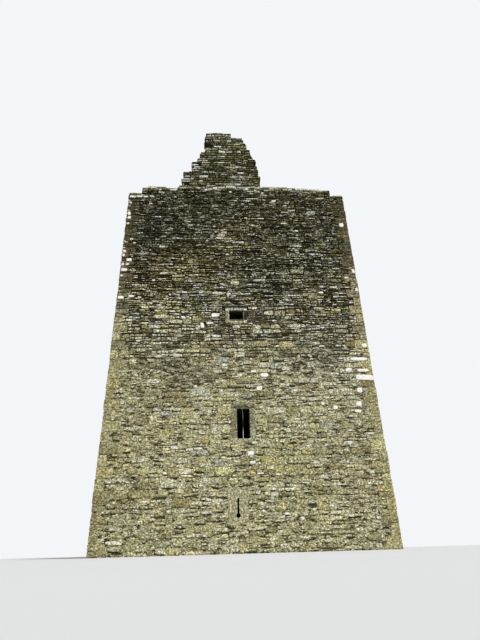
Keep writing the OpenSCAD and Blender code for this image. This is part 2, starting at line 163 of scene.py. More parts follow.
class Shader:
    # a material under construction; patterns and colours come out of it as Wires
    def __init__(self, name):
        self.material = bpy.data.materials.new(name)
        self.material.use_nodes = True
        self.tree = self.material.node_tree
        self.surface = self.tree.nodes["Principled BSDF"]
        self.surface.inputs["Roughness"].default_value = 0.9
        self.surface.inputs["Specular IOR Level"].default_value = 0.02
        self.coords = self.add("ShaderNodeTexCoord", {}, {}, output="Object")

    def add(self, kind, settings, inputs, output=0):
        node = self.tree.nodes.new(kind)
        for key, value in settings.items():
            setattr(node, key, value)
        for key, value in inputs.items():
            if isinstance(value, Wire):
                self.tree.links.new(value.socket, node.inputs[key])
            else:
                node.inputs[key].default_value = value
        return Wire(self, node.outputs[output])

    def attribute(self, name, output):
        return self.add("ShaderNodeAttribute", {"attribute_name": name}, {}, output=output)

    def scaled(self, x, y, z):
        values = {"Vector": self.coords, "Scale": (x, y, z)}
        return self.add("ShaderNodeMapping", {"vector_type": "POINT"}, values)

    def noise(self, scale, detail=3.0, rough=0.55, vector=None):
        values = {"Vector": vector or self.coords, "Scale": scale, "Detail": detail, "Roughness": rough}
        return self.add("ShaderNodeTexNoise", {}, values)

    def cells(self, vector, uneven):
        # a pattern of stones: a number for each cell, and the distance to its edge
        values = {"Vector": vector, "Scale": 1.0, "Randomness": uneven}
        cell = self.add("ShaderNodeTexVoronoi", {"feature": "F1"}, values, output="Color")
        edge = self.add("ShaderNodeTexVoronoi", {"feature": "DISTANCE_TO_EDGE"}, values)
        return self.split(cell)[0], edge

    def mix(self, factor, first, second, blend="MIX"):
        pair = {0: factor}
        for key, value in ((6, first), (7, second)):
            pair[key] = (*value, 1) if isinstance(value, tuple) else value
        return self.add("ShaderNodeMix", {"data_type": "RGBA", "blend_type": blend}, pair, output=2)

    def gray(self, value):
        # a number as a colour
        return self.add("ShaderNodeCombineColor", {}, {0: value, 1: value, 2: value})

    def times(self, colour, level):
        return self.mix(1.0, colour, self.gray(level), "MULTIPLY")

    def lit(self, colour, level):
        # the colour at that brightness: stone is browner where it is dark and greyer where it is bright
        powers = {0: level, 1: level ** hueByLevel["green"], 2: level ** hueByLevel["blue"]}
        return self.mix(1.0, colour, self.add("ShaderNodeCombineColor", {}, powers), "MULTIPLY")

    def drained(self, colour, share):
        # the colour with that share of it turned grey
        level = self.add("ShaderNodeRGBToBW", {}, {0: colour})
        return self.mix(share, colour, self.gray(level))

    def split(self, vector):
        return [self.add("ShaderNodeSeparateXYZ", {}, {0: vector}, output=i) for i in range(3)]

    def finish(self, colour, height=None, depth=0.01, rough=None):
        self.tree.links.new(colour.socket, self.surface.inputs["Base Color"])
        if rough is not None:
            self.tree.links.new(rough.socket, self.surface.inputs["Roughness"])
        if height is not None:
            bump = self.add("ShaderNodeBump", {}, {"Strength": 1.0, "Distance": depth, "Height": height})
            self.tree.links.new(bump.socket, self.surface.inputs["Normal"])
        return self.material


# finishes

stoneFinish = {
    "mottle": 9.5, "mottleHigh": 3.0, "brightest": 1.4,  # strength of the light and dark chips
    "chips": 14.5, "grain": 32, "grit": 5.0,  # the chips' and the grain's fineness, and the grain's strength
    # lime low down, black growth and painted shade high up, pale specks, crusts of lichen and moss: where
    # each pattern starts
    "smear": 0.25, "smearFrom": 0.78, "growthAndShade": 0.07, "growthAndShadeFrom": 0.585, "speckFrom": 0.665,
    "crust": 11, "crustFrom": 0.70, "mossFrom": 0.5, "soft": 0.05, "pit": 0.022,
    # how much of each covers the stone, how much calmer a white stone is, and how grey a bright chip turns
    "smearShare": 0.75, "growthAndShadeShare": 0.85, "speckShare": 0.55, "speckHigh": 0.3, "crustShare": 0.85,
    "crustWhite": 0.30, "mossShare": 0.15, "calm": 0.75, "drain": 0.4, "drainTo": 2.4,
    "lichen": (0.73, 0.715, 0.57), "whitest": (1.0, 0.975, 0.91), "fleck": (0.60, 0.59, 0.45),
    "moss": (0.10, 0.105, 0.04), "blackAndShade": (0.0115, 0.0100, 0.0042),
}
dressedFinish = {
    **stoneFinish, "mottle": 8.0, "chips": 14, "smear": 0.23, "growthAndShade": 0.03, "crust": 5.5, "pit": 0.012,
}
# heights between which the kind of stone changes, and between which the wall darkens
zoneSet = {"changeFrom": 7.0, "changeTo": 11.0, "darkFrom": 4.2, "darkTo": 10.4, "swing": 3}
# the high tone is near black: painted shade standing in for deep open joints
limeTone = {"low": (0.36, 0.337, 0.200), "high": (0.016, 0.015, 0.010)}


def makeStoneFinish(name, values):
    # stones carry their own colour in stoneTone; its alpha says how much white lichen grows on one
    s = Shader(name)
    soft = values["soft"]
    tone = s.attribute("stoneTone", "Color")
    white = s.attribute("stoneTone", "Alpha")
    z = s.split(s.coords)[2]
    wide = s.noise(0.9, 2)
    chips = s.noise(values["chips"], 3, 0.6, s.scaled(1.2, 1.2, 1.4))
    grain = s.noise(values["grain"], 2, 0.6)
    rise = (z + (wide - 0.5) * zoneSet["swing"]).between(zoneSet["darkFrom"], zoneSet["darkTo"])
    calm = 1 - white * values["calm"]
    power = (chips - 0.5) * (rise * values["mottleHigh"] + values["mottle"]) * calm
    power = power + (grain - 0.5) * values["grit"]
    mottle = power.smaller(values["brightest"]).under(2.0)
    colour = s.lit(tone, mottle)
    colour = s.drained(colour, (mottle - 1.0).between(0.0, values["drainTo"]) * values["drain"])
    lime = s.noise(7, 5, 0.68, s.scaled(1, 1, 1.7))
    smear = (lime + (1 - rise) * values["smear"] - values["smearFrom"]).between(0.0, soft)
    colour = s.mix(smear * values["smearShare"] * calm, colour, s.lit(limeTone["low"], mottle ** 0.7))
    # near-black patches: partly dark growth, partly painted shade of hollows and open joints
    patches = s.noise(9, 5, 0.75, s.scaled(1, 1, 2))
    blackAndShade = (patches + rise * values["growthAndShade"] - values["growthAndShadeFrom"]).between(0.0, soft)
    colour = s.mix(blackAndShade * values["growthAndShadeShare"] * calm, colour, values["blackAndShade"])
    dots = s.noise(24, 3, 0.7, s.scaled(1.2, 1.2, 1.5))
    specks = dots.between(values["speckFrom"], values["speckFrom"] + 0.035)
    specks = specks * (values["speckShare"] + rise * values["speckHigh"])
    colour = s.mix(specks, colour, values["fleck"], "LIGHTEN")
    crust = s.noise(values["crust"], 4, 0.66, s.scaled(1, 1, 1.3))
    patch = (crust + white * values["crustWhite"] - values["crustFrom"]).between(0.0, soft)
    colour = s.mix(patch * values["crustShare"], colour, values["lichen"], "LIGHTEN")
    green = wide.between(values["mossFrom"], values["mossFrom"] + 0.16) * values["mossShare"] * calm
    colour = s.mix(green, colour, values["moss"])
    colour = s.mix(1.0, colour, values["whitest"], "DARKEN")
    height = chips * 0.7 + grain * 0.2 + smear * 0.15
    return s.finish(colour, height, values["pit"], 0.82 + grain * 0.16)


mortarFinish = {
    "inside": (0.24, 0.225, 0.15), "insideStone": (0.15, 0.14, 0.09), "open": (0.0115, 0.0098, 0.0042),
    "pit": 0.02, "darkFrom": 5.0, "darkTo": 11.0, "openFrom": 0.50, "openShare": 0.9, "openHigh": 0.2,
    "lumps": 8, "sand": 1.8, "brightest": 1.3, "bed": (3.4, 3.4, 9.0), "uneven": 0.9,
}


def makeMortarFinish(values):
    # outside: lime mortar, with open joints and the mortar near the head painted near black as shade; inside:
    # rubble drawn to scale
    s = Shader("wallMortar")
    x, y, z = s.split(s.coords)
    outside = (abs(x) / halfW).larger(abs(y) / halfD).over(0.9985).larger(z.over(wallTop - 0.02))
    wide = s.noise(0.9, 2)
    lumps = s.noise(15, 3, 0.6, s.scaled(1, 1, 1.5))
    sand = s.noise(60, 2, 0.6)
    rise = (z + (wide - 0.5) * zoneSet["swing"]).between(values["darkFrom"], values["darkTo"])
    lime = s.mix(rise, limeTone["low"], limeTone["high"])
    power = (lumps - 0.5) * values["lumps"] + (sand - 0.5) * values["sand"]
    lime = s.lit(lime, power.smaller(values["brightest"]).under(2.0))
    # painted shade: open joints are painted near black
    holes = s.noise(2.6, 5, 0.72, s.scaled(1, 1, 3)) + rise * values["openHigh"]
    holes = holes.between(values["openFrom"], values["openFrom"] + 0.04) * values["openShare"]
    lime = s.mix(holes, lime, values["open"])
    cell, joint = s.cells(s.scaled(*values["bed"]), values["uneven"])
    stone = s.times(values["insideStone"], 0.5 + cell * 1.3 + (lumps - 0.5))
    stoneMask = joint.between(0.05, 0.14)
    room = s.mix(stoneMask, s.times(values["inside"], 0.7 + sand * 0.5), stone)
    height = lumps * 0.5 + sand * 0.2 + (1 - outside) * stoneMask * 0.9
    return s.finish(s.mix(outside, room, lime), height, values["pit"])


slabFinish = {
    "stone": (0.235, 0.225, 0.165), "dark": (0.09, 0.088, 0.06), "lichen": (0.66, 0.66, 0.60), "pit": 0.012,
}


def makeSlabFinish(values):
    s = Shader("headSlabs")
    broad = s.noise(1.7, 4, 0.6)
    grain = s.noise(30, 4, 0.65)
    colour = s.mix(broad.between(0.35, 0.62), values["stone"], values["dark"])
    colour = s.times(colour, 0.6 + grain * 0.8)
    patch = s.noise(9, 4, 0.6).between(0.62, 0.68)
    colour = s.mix(patch * 0.75, colour, values["lichen"])
    return s.finish(colour, broad * 0.4 + grain * 0.6, values["pit"])


pavingFinish = {
    "flag": (0.22, 0.21, 0.165), "joint": (0.10, 0.095, 0.07), "pit": 0.012, "bed": (1.9, 2.4, 0.02),
    "uneven": 0.75,
}


def makePavingFinish(values):
    s = Shader("roomPaving")
    cell, edge = s.cells(s.scaled(*values["bed"]), values["uneven"])
    grain = s.noise(26, 4, 0.65)
    flag = s.times(values["flag"], 0.45 + cell * 0.7 + grain * 0.4)
    mask = edge.between(0.02, 0.05)
    return s.finish(s.mix(mask, values["joint"], flag), mask * 0.8 + grain * 0.3, values["pit"])


timberFinish = {
    "pale": (0.27, 0.235, 0.185), "dark": (0.095, 0.075, 0.052), "split": (0.03, 0.025, 0.02), "check": 0.006,
    "along": 1.1, "across": 22,
}


def makeTimberFinish(name, alongX, values):
    s = Shader(name)
    along, across = values["along"], values["across"]
    stretch = s.scaled(along, across, across) if alongX else s.scaled(across, along, across)
    grain = s.noise(1.6, 5, 0.7, stretch)
    stain = s.noise(1.3, 3, 0.6)
    split = s.noise(3.2, 2, 0.5, stretch).between(0.60, 0.66)
    colour = s.mix(grain.between(0.3, 0.7), values["dark"], values["pale"])
    colour = s.times(colour, 0.55 + stain * 0.85)
    colour = s.mix(split * 0.7, colour, values["split"])
    return s.finish(colour, grain * 0.6 - split * 0.8, values["check"], 0.75 + grain * 0.2)


ironFinish = {
    "paint": (0.30, 0.30, 0.30), "rust": (0.055, 0.030, 0.024), "sunlitFoot": (0.90, 0.90, 0.87), "pit": 0.002,
    "rustTo": (0.55, 0.95), "sunlitFootTo": 0.42,  # heights over the bar's foot
}
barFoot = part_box("front_hall_window_sill")[1].z


def makeIronFinish(values):
    s = Shader("barIron")
    z = s.split(s.coords)[2]
    flake = s.noise(38, 4, 0.6)
    up = z - barFoot + (flake - 0.5) * 0.4
    colour = s.mix(up.between(*values["rustTo"]), values["rust"], values["paint"])
    # painted light: the bar's foot is painted pale, as if sunlit
    colour = s.mix((values["sunlitFootTo"] - up).between(0.0, 0.25) * 0.9, colour, values["sunlitFoot"])
    return s.finish(colour, flake, values["pit"], 0.6 + flake * 0.25)


rubbleMaterial = makeStoneFinish("rubbleStone", stoneFinish)
dressedMaterial = makeStoneFinish("dressedStone", dressedFinish)
mortarMaterial = makeMortarFinish(mortarFinish)
slabMaterial = makeSlabFinish(slabFinish)
pavingMaterial = makePavingFinish(pavingFinish)
joistMaterial = makeTimberFinish("joistOak", True, timberFinish)
plateMaterial = makeTimberFinish("plateOak", False, timberFinish)
ironMaterial = makeIronFinish(ironFinish)
print("finishes made")


# base stones, modelled once

def clearSelection():
    if bpy.context.object and bpy.context.object.mode != "OBJECT":
        bpy.ops.object.mode_set(mode="OBJECT")
    bpy.ops.object.select_all(action="DESELECT")


def newCube():
    clearSelection()
    bpy.ops.mesh.primitive_cube_add(size=2)
    return bpy.context.object


def choose(piece, kind, test):
    # in edit mode, selects the faces or edges that pass the test
    bpy.ops.object.mode_set(mode="EDIT")
    bpy.ops.mesh.select_mode(type=kind)
    bpy.ops.mesh.select_all(action="DESELECT")
    bpy.ops.object.mode_set(mode="OBJECT")
    for item in piece.data.polygons if kind == "FACE" else piece.data.edges:
        item.select = bool(test(item))
    bpy.ops.object.mode_set(mode="EDIT")


def roughen(offset, seed):
    bpy.ops.mesh.select_all(action="SELECT")
    bpy.ops.transform.vertex_random(offset=offset, seed=seed)


def takeShape(piece):
    # hands over a modelled shape as points and faces, and removes its object
    bpy.ops.object.mode_set(mode="OBJECT")
    points = np.array([v.co[:] for v in piece.data.vertices])
    faces = [list(p.vertices) for p in piece.data.polygons]
    mesh = piece.data
    bpy.data.objects.remove(piece)
    bpy.data.meshes.remove(mesh)
    return points, faces


rubbleShape = {
    "inset": 0.8, "cut": 0.42, "dome": 0.35, "rough": 0.07,
    # when laid: most that the face is drawn in, depth of the back, where the outline lies, height of a dome,
    # and the least brightness of the upper outline, which is painted shade
    "drawMost": 0.42, "back": 0.03, "outline": 0.4, "domeShare": 0.25, "rim": 0.6,
}


def ringed(points, faces):
    # sorts a shape's points into its back, its outline and its face
    plan, out = points[:, [0, 2]].copy(), -points[:, 1]
    onFace = out > 1.5
    plan[onFace] /= rubbleShape["inset"]
    ring = np.where(out < 0, 0, np.where(onFace, 2, 1))
    return {"plan": plan, "ring": ring, "lift": np.where(onFace, out - 2, 0), "faces": faces}


def drawIn():
    share = rubbleShape["inset"]
    bpy.ops.transform.resize(value=(share, 1, share), center_override=(0, -2, 0))


def modelChip(seed):
    # a sliver: a cube whose face is drawn in
    chip = newCube()
    choose(chip, "FACE", lambda face: face.normal.y < -0.9)
    bpy.ops.transform.translate(value=(0, -1, 0))
    drawIn()
    roughen(rubbleShape["rough"], seed)
    return ringed(*takeShape(chip))


def modelRubbleStone(cutCorners, domed, seed):
    # a stone seen from -Y: back at y 1, its outline at y -1, its face, drawn in, at y -2
    stone = newCube()
    points = stone.data.vertices
    if cutCorners:
        def isCorner(edge):
            a, b = (points[i].co for i in edge.vertices)
            return abs(a.y - b.y) > 1 and (a.x > 0, a.z > 0) in cutCorners
        choose(stone, "EDGE", isCorner)
        bpy.ops.mesh.bevel(offset=rubbleShape["cut"], segments=1, affect="EDGES")
    choose(stone, "FACE", lambda face: face.normal.y < -0.9)
    bpy.ops.mesh.extrude_region_move(TRANSFORM_OT_translate={"value": (0, -1, 0)})
    drawIn()
    if domed:
        bpy.ops.mesh.poke(offset=rubbleShape["dome"])
    roughen(rubbleShape["rough"], seed)
    return ringed(*takeShape(stone))


def mirrored(shape):
    turned = dict(shape, plan=shape["plan"] * [-1, 1])
    turned["faces"] = [face[::-1] for face in shape["faces"]]
    return turned


corners = [(False, False), (True, False), (True, True), (False, True)]
flagShapes = [modelRubbleStone([], False, seed) for seed in (1, 2, 3, 4)]
flagShapes += [modelRubbleStone([corners[seed % 4]], False, seed) for seed in (5, 6)]
brokenShapes = [
    modelRubbleStone([corners[seed % 4], corners[(seed + 2) % 4]], seed % 2 == 0, seed)
    for seed in (11, 12, 13, 14)
]
cobbleShapes = [modelRubbleStone(corners, True, seed) for seed in (21, 22, 23)]
chipShapes = [modelChip(seed) for seed in (31, 32, 33, 34, 35)]
stoneShapes = {"chip": chipShapes, "flag": flagShapes, "broken": brokenShapes, "cobble": cobbleShapes}
stoneShapes = {kind: shapes + [mirrored(s) for s in shapes] for kind, shapes in stoneShapes.items()}

blockShape = {"bevel": 0.2, "rough": 0.035}


def modelBlock(cuts, segments, seed):
    block = newCube()
    bpy.ops.object.mode_set(mode="EDIT")
    bpy.ops.mesh.select_all(action="SELECT")
    if cuts:
        bpy.ops.mesh.subdivide(number_cuts=cuts)
    points = block.data.vertices

    def isArris(edge):
        a, b = (points[i].co for i in edge.vertices)
        return sum(abs(abs(p) - 1) < 1e-4 and abs(p - q) < 1e-4 for p, q in zip(a, b)) == 2
    choose(block, "EDGE", isArris)
    bpy.ops.mesh.bevel(offset=blockShape["bevel"], segments=segments, affect="EDGES")
    roughen(blockShape["rough"], seed)
    points, faces = takeShape(block)
    return {"points": points, "faces": faces}


slabBlocks = [modelBlock(0, 1, seed) for seed in range(30, 36)]
quoinBlocks = [modelBlock(1, 2, seed) for seed in range(40, 45)]
print("base stones modelled")


# laying stones

# half width of each face and its distance from the middle of the tower
faceSizes = {"front": (halfW, halfD), "right": (halfD, halfW), "rear": (halfW, halfD), "left": (halfD, halfW)}
endFaces = ("front", "rear")
trianglesMade = []


def placed(facing, plane, u, out, z):
    # u runs to the right of someone who looks at the face, out is away from the wall
    away = plane + out
    axes = {
        "front": [u, -away, z], "rear": [-u, away, z], "right": [away, u, z], "left": [-away, -u, z],
        "up": [u, z, away],
    }
    return np.stack(axes[facing], -1)


def wander(u, z, seed, size=1.0):
    # a smooth field between about -1 and 1
    a = np.sin(u * 1.7 / size + seed * 1.3) * np.cos(z * 1.3 / size - seed * 2.1)
    b = np.sin(u * 0.61 / size - z * 0.83 / size + seed * 0.7)
    c = np.sin(u * 3.9 / size + z * 2.3 / size + seed * 3.7)
    return 0.45 * a + 0.35 * b + 0.2 * c


def makePiece(name, parts, material):
    # one piece from many (points, faces, tones)
    points, faces, tones = joinParts(parts)
    mesh = bpy.data.meshes.new(name)
    mesh.from_pydata(points.tolist(), [], faces)
    layer = mesh.color_attributes.new("stoneTone", "FLOAT_COLOR", "POINT")
    layer.data.foreach_set("color", np.asarray(tones, np.float32).ravel())
    mesh.materials.append(material)
    piece = bpy.data.objects.new(name, mesh)
    scene.collection.objects.link(piece)
    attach(piece, "root")
    triangles = sum(len(f) - 2 for f in faces)
    trianglesMade.append(triangles)
    print(f"  {name}: {triangles} triangles")
    return piece


def joinParts(parts):
    faces, first = [], 0
    for points, own, _ in parts:
        faces += [[i + first for i in face] for face in own]
        first += len(points)
    return np.concatenate([p for p, _, _ in parts]), faces, np.concatenate([t for _, _, t in parts])


def spreadFaces(faces, copies, count):
    # the faces of each of that many copies of a shape with count points
    out = []
    for size in sorted({len(f) for f in faces}):
        part = np.array([f for f in faces if len(f) == size])
        out += (part[None] + np.arange(copies)[:, None, None] * count).reshape(-1, size).tolist()
    return out


def copyStones(stones, facing, plane):
    # stones: quads (n,4,2), tilt (n,2), tone (n,4), kind, shape, proud, bevel, under: the painted shade of
    # the lower arris
    parts = []
    for kind, shapes in stoneShapes.items():
        for index, shape in enumerate(shapes):
            pick = np.nonzero((stones["kind"] == kind) & (stones["shape"] % len(shapes) == index))[0]
            quads, tilt = stones["quads"][pick], stones["tilt"][pick]
            proud, bevel, under = (stones[key][pick][:, None] for key in ("proud", "bevel", "under"))
            half = (quads.max(1) - quads.min(1)) / 2
            draw = np.minimum(bevel / half, rubbleShape["drawMost"])
            onFace = shape["ring"] == 2
            plan = np.broadcast_to(shape["plan"], (len(pick), *shape["plan"].shape)).copy()
            plan[:, onFace] *= (1 - draw)[:, None, :]
            s, t = (plan[..., 0, None] + 1) / 2, (plan[..., 1, None] + 1) / 2
            bl, br, tr, tl = (quads[:, i][:, None] for i in range(4))
            place = bl * ((1 - s) * (1 - t)) + br * (s * (1 - t)) + tr * (s * t) + tl * ((1 - s) * t)
            lean = (plan * tilt[:, None]).sum(-1)
            face = proud * (1 + lean) + shape["lift"] * half.min(1)[:, None] * rubbleShape["domeShare"]
            side = np.where(shape["ring"] == 0, -rubbleShape["back"], proud * rubbleShape["outline"])
            out = np.where(onFace, face, side)
            points = placed(facing, plane, place[..., 0], out, place[..., 1]).reshape(-1, 3)
            tones = np.repeat(stones["tone"][pick], len(shape["plan"]), 0)
            # painted shade: the outline is darkened, the lower arris most, standing in for the shade round a
            # stone and under it
            upper = rubbleShape["rim"] + (1 - rubbleShape["rim"]) * under
            rim = np.where(onFace, 1.0, np.where(shape["plan"][:, 1] < 0, under, upper))
            tones[:, :3] *= rim.reshape(-1, 1) ** (1, hueByLevel["underGreen"], hueByLevel["underBlue"])
            parts.append((points, spreadFaces(shape["faces"], len(pick), len(shape["plan"])), tones))
    return parts


def copyBlocks(blocks, boxes, bevels, tones, rng, warp=0.0, under=1.0):
    # boxes: rows of x0 y0 z0 x1 y1 z1; under: brightness of the lower arris, painted shade
    parts = []
    boxes, tones, bevels = np.array(boxes), np.array(tones), np.broadcast_to(bevels, len(boxes))
    choice = np.array([rng.randrange(len(blocks)) for _ in boxes])
    for index, block in enumerate(blocks):
        pick = np.nonzero(choice == index)[0]
        low, high = boxes[pick, :3], boxes[pick, 3:]
        half, middle = (high - low)[:, None] / 2, (high + low)[:, None] / 2
        b = np.minimum(bevels[pick][:, None, None], half * 0.6)
        c = block["points"][None]
        size, keep = np.abs(c), 1 - blockShape["bevel"]
        reach = np.where(size > keep, half - b * (1 - size) / (1 - keep), size / keep * (half - b))
        points = middle + np.sign(c) * reach
        if warp:
            points += warp * wander(points[..., [1, 0, 0]] * 3, points[..., [2, 2, 1]] * 3, index)
        count = len(block["points"])
        own = np.repeat(tones[pick], count, 0)
        # painted shade: the lower face of each block is darkened
        own[:, :3] *= np.tile(np.where(block["points"][:, 2] < -0.9, under, 1.0), len(pick))[:, None]
        parts.append((points.reshape(-1, 3), spreadFaces(block["faces"], len(pick), count), own))
    return parts


def jagged(corners, jags):
    # the four corners of a stone from below left, each drawn in by its own two jags
    signs = ((1, 1), (-1, 1), (-1, -1), (1, -1))
    pairs = zip(corners, signs, jags[::2], jags[1::2])
    return [(u + a * jagU, z + b * jagZ) for (u, z), (a, b), jagU, jagZ in pairs]


layingSet = {
    "lastBed": 0.62, "lastPatch": 0.3,  # least height and length that are left for one more
    "swing": (0.008, 0.02), "turns": (0.5, 1.1), "start": (0, 6.3),  # the waves of a bed line
    "fineSwing": (0.003, 0.010), "fineTurns": (2, 4),
    "lean": 0.035, "layerShift": 0.28, "layerDrift": 0.08, "wedge": 0.15, "jagFrom": -0.25,
    "deepBeds": 0.3, "deepTurns": 0.12, "deepJoint": 2.4,  # joints that the rain has washed out
}


def bedLevels(z0, z1, style, rng):
    levels = [z0]
    while z1 - levels[-1] > layingSet["lastBed"]:
        levels.append(levels[-1] + rng.uniform(*style(levels[-1], rng)["bed"]))
    return levels + [z1]


def bedWaves(count, rng):
    # two waves for each bed line; the first and the last line stay straight
    waves = []
    for k in range(count):
        keys = ("swing", "turns", "start", "fineSwing", "fineTurns", "start")
        wave = [rng.uniform(*layingSet[key]) for key in keys]
        if k in (0, count - 1):
            wave[0] = wave[3] = 0
        waves.append(wave)
    return waves


def stopsAlong(layer, long, look, rng):
    # where the stones of a layer end, as shares of the patch's length
    stops = [0.0]
    while True:
        length = min(max(layer * rng.uniform(*look["aspect"]), look["least"]), look["most"])
        step = length / long
        if stops[-1] + step > 1 - 0.5 * step:
            return stops + [1.0]
        stops.append(stops[-1] + step)


def layStones(u0, u1, z0, z1, style, seed, spaces, least):
    # beds of patches, each patch a few layers of stones; returns each stone's four corners, its rank and
    # whether its lower joint is deep, and the u and z of the middles
    rng = random.Random(seed)
    levels = bedLevels(z0, z1, style, rng)
    waves = bedWaves(len(levels), rng)

    def line(k, u):
        a, f, p, b, g, q = waves[k]
        return levels[k] + a * math.sin(f * u + p) + b * math.sin(g * u + q)

    def around(reach):
        return rng.uniform(-reach, reach)

    quads, looks = [], []
    for k in range(len(levels) - 1):
        u, lean = u0, 0.0
        deep = rng.random() < layingSet["deepBeds"]
        height = levels[k + 1] - levels[k]
        while u < u1 - 1e-6:
            look = style((levels[k] + levels[k + 1]) / 2, rng)
            end = u + rng.uniform(*look["patch"])
            nextLean = around(layingSet["lean"])
            if u1 - end < layingSet["lastPatch"]:
                end, nextLean = u1, 0.0
            if rng.random() < layingSet["deepTurns"]:
                deep = not deep
            count = max(1, round(height / min(rng.uniform(*look["layer"]), height)))
            between = [(i + around(layingSet["layerShift"])) / count for i in range(1, count)]
            left = sorted([0.0, 1.0] + between)
            drift = [around(layingSet["layerDrift"]) for _ in left]
            right = [min(1.0, max(0.0, t + d * (0 < i < count))) for i, (t, d) in enumerate(zip(left, drift))]

            def at(s, i):
                # the point at s along the patch, on its line i
                t = left[i] + (right[i] - left[i]) * s
                slant = lean * (1 - s) + nextLean * s
                x = u + (end - u) * s + slant * (t - 0.5) * 2
                return x, line(k, x) * (1 - t) + line(k + 1, x) * t

            for i in range(count):
                stops = stopsAlong(height * (left[i + 1] - left[i]), end - u, look, rng)
                isDeep = deep and i == 0
                for a, b in zip(stops, stops[1:]):
                    wedge = around(layingSet["wedge"]) * (b - a)
                    shift = wedge * (a > 0)
                    start, stop = at(a + shift, i), at(b, i)
                    topStart, topStop = at(a - shift, i + 1), at(b, i + 1)
                    joint = rng.uniform(*look["joint"]) / 2
                    under = joint * (layingSet["deepJoint"] if isDeep else 1)
                    jags = [rng.uniform(layingSet["jagFrom"], 1.0) * look["jag"] for _ in range(8)]
                    butt = joint * look["butt"]
                    quads.append(jagged([
                        (start[0] + butt, start[1] + under), (stop[0] - butt, stop[1] + under),
                        (topStop[0] - butt, topStop[1] - joint), (topStart[0] + butt, topStart[1] - joint),
                    ], jags))
                    looks.append((look["rank"], isDeep))
            u, lean = end, nextLean
    quads, looks = np.array(quads), np.array(looks)
    keep = trimStones(quads, spaces, least)
    return quads[keep], looks[keep], quads[keep].mean(1).T


def trimStones(quads, spaces, least):
    # cuts stones back to what lies beside each kept space; says which are still large enough
    for u0, u1, z0, z1 in spaces:
        low, high = quads.min(1), quads.max(1)
        hit = np.nonzero((high[:, 0] > u0) & (low[:, 0] < u1) & (high[:, 1] > z0) & (low[:, 1] < z1))[0]
        size = high[hit] - low[hit]
        left, below = np.minimum((u0, z0) - low[hit], size).T
        right, above = np.minimum(high[hit] - (u1, z1), size).T
        wide, tall = size.T
        best = np.argmax([left * tall, right * tall, below * wide, above * wide], 0)
        cuts = ((0, u0, np.minimum), (0, u1, np.maximum), (1, z0, np.minimum), (1, z1, np.maximum))
        for n, (axis, limit, cut) in enumerate(cuts):
            which = hit[best == n]
            quads[which, :, axis] = cut(quads[which, :, axis], limit)
    return (quads.max(1) - quads.min(1)).min(1) > least


# colours of the rubble

towerTones = {
    # height, mean brightness outside
    "rise": [
        (0.0, 0.37), (1.0, 0.41), (3.0, 0.42), (5.0, 0.40), (6.5, 0.425), (7.6, 0.45), (8.6, 0.42),
        (9.6, 0.325), (11.0, 0.222), (12.5, 0.188), (14.0, 0.166), (15.0, 0.165),
    ],
    "hue": (1.06, 0.988, 0.474), "greyest": 0.53, "greyAt": (8.8, 3.0),  # blue share at mid height, and where
    "clouds": (1.1, 0.16, 0.12), "ochre": (0.055, 0.115), "green": 0.03,  # how far the wall's colour wanders
    "spread": (0.34, 0.64),  # of the brightness of single stones, low and high on the wall
    "middle": (7.4, 1.9), "middleSpread": 0.22, "middlePale": 0.022,  # height and reach of the mixed band
    "warm": 0.036, "warmBlue": 2.4, "greyer": 0.40,  # how single stones differ; brighter ones are greyer
    "pale": (0.016, 0.055), "paleTone": (0.62, 0.605, 0.46), "lowest": 0.008, "highest": 0.70,
}

# what has stained the front; the darkening on its right half, from the foot to about 8 m, is partly stain and
# partly painted shade:
# place along the face and height, half width and half height, and what it does to red, green and blue
frontStainsAndShade = [
    (-3.8, 12.2, 0.85, 1.5, (0.42, 0.44, 0.48)), (-2.9, 12.9, 0.8, 0.8, (0.62, 0.64, 0.66)),
    (-1.6, 12.2, 0.5, 0.9, (0.74, 0.76, 0.76)), (-2.5, 10.9, 1.2, 0.8, (1.48, 1.36, 1.06)),
    (-2.3, 10.4, 1.2, 0.35, (1.18, 1.10, 0.78)), (0.7, 9.7, 1.4, 0.5, (0.72, 0.72, 0.86)),
    (-0.2, 9.85, 0.5, 0.28, (1.6, 1.55, 1.1)), (3.3, 13.5, 0.5, 0.35, (2.0, 2.05, 2.3)),
    (-0.75, 12.2, 0.45, 0.3, (1.8, 1.8, 1.9)), (2.4, 12.9, 1.3, 0.9, (0.88, 0.88, 0.85)),
    (-3.2, 8.2, 1.0, 0.5, (1.28, 1.24, 1.1)), (2.4, 8.1, 1.7, 0.8, (1.06, 1.07, 1.16)),
    (1.9, 6.9, 2.4, 1.1, (0.72, 0.73, 0.82)), (-1.6, 5.6, 1.5, 1.0, (0.46, 0.47, 0.53)),
    (2.9, 6.2, 1.9, 1.2, (0.80, 0.82, 0.92)), (0.3, 11.8, 1.3, 1.8, (1.24, 1.25, 1.24)),
    (0.6, 8.4, 0.5, 0.4, (0.55, 0.52, 0.60)), (-0.85, 2.75, 0.7, 0.35, (0.94, 1.03, 1.12)),
    (-2.1, 2.5, 0.8, 0.4, (1.15, 1.15, 1.08)), (-2.9, 3.4, 0.5, 0.3, (1.10, 0.95, 0.70)),
    (-2.2, 1.6, 0.45, 0.25, (0.78, 0.68, 0.50)), (0.2, 2.4, 0.6, 0.2, (0.84, 0.80, 0.62)),
    (4.0, 3.8, 1.3, 3.2, (0.86, 0.84, 0.96)), (-4.2, 3.0, 1.1, 3.0, (0.82, 0.80, 0.76)),
    (-1.6, 8.8, 1.4, 0.3, (1.2, 1.18, 1.05)),
]

stainSet = {"count": 16, "gains": (0.68, 0.78, 0.85, 1.2, 1.35), "warm": (-0.12, 0.14), "high": 14}


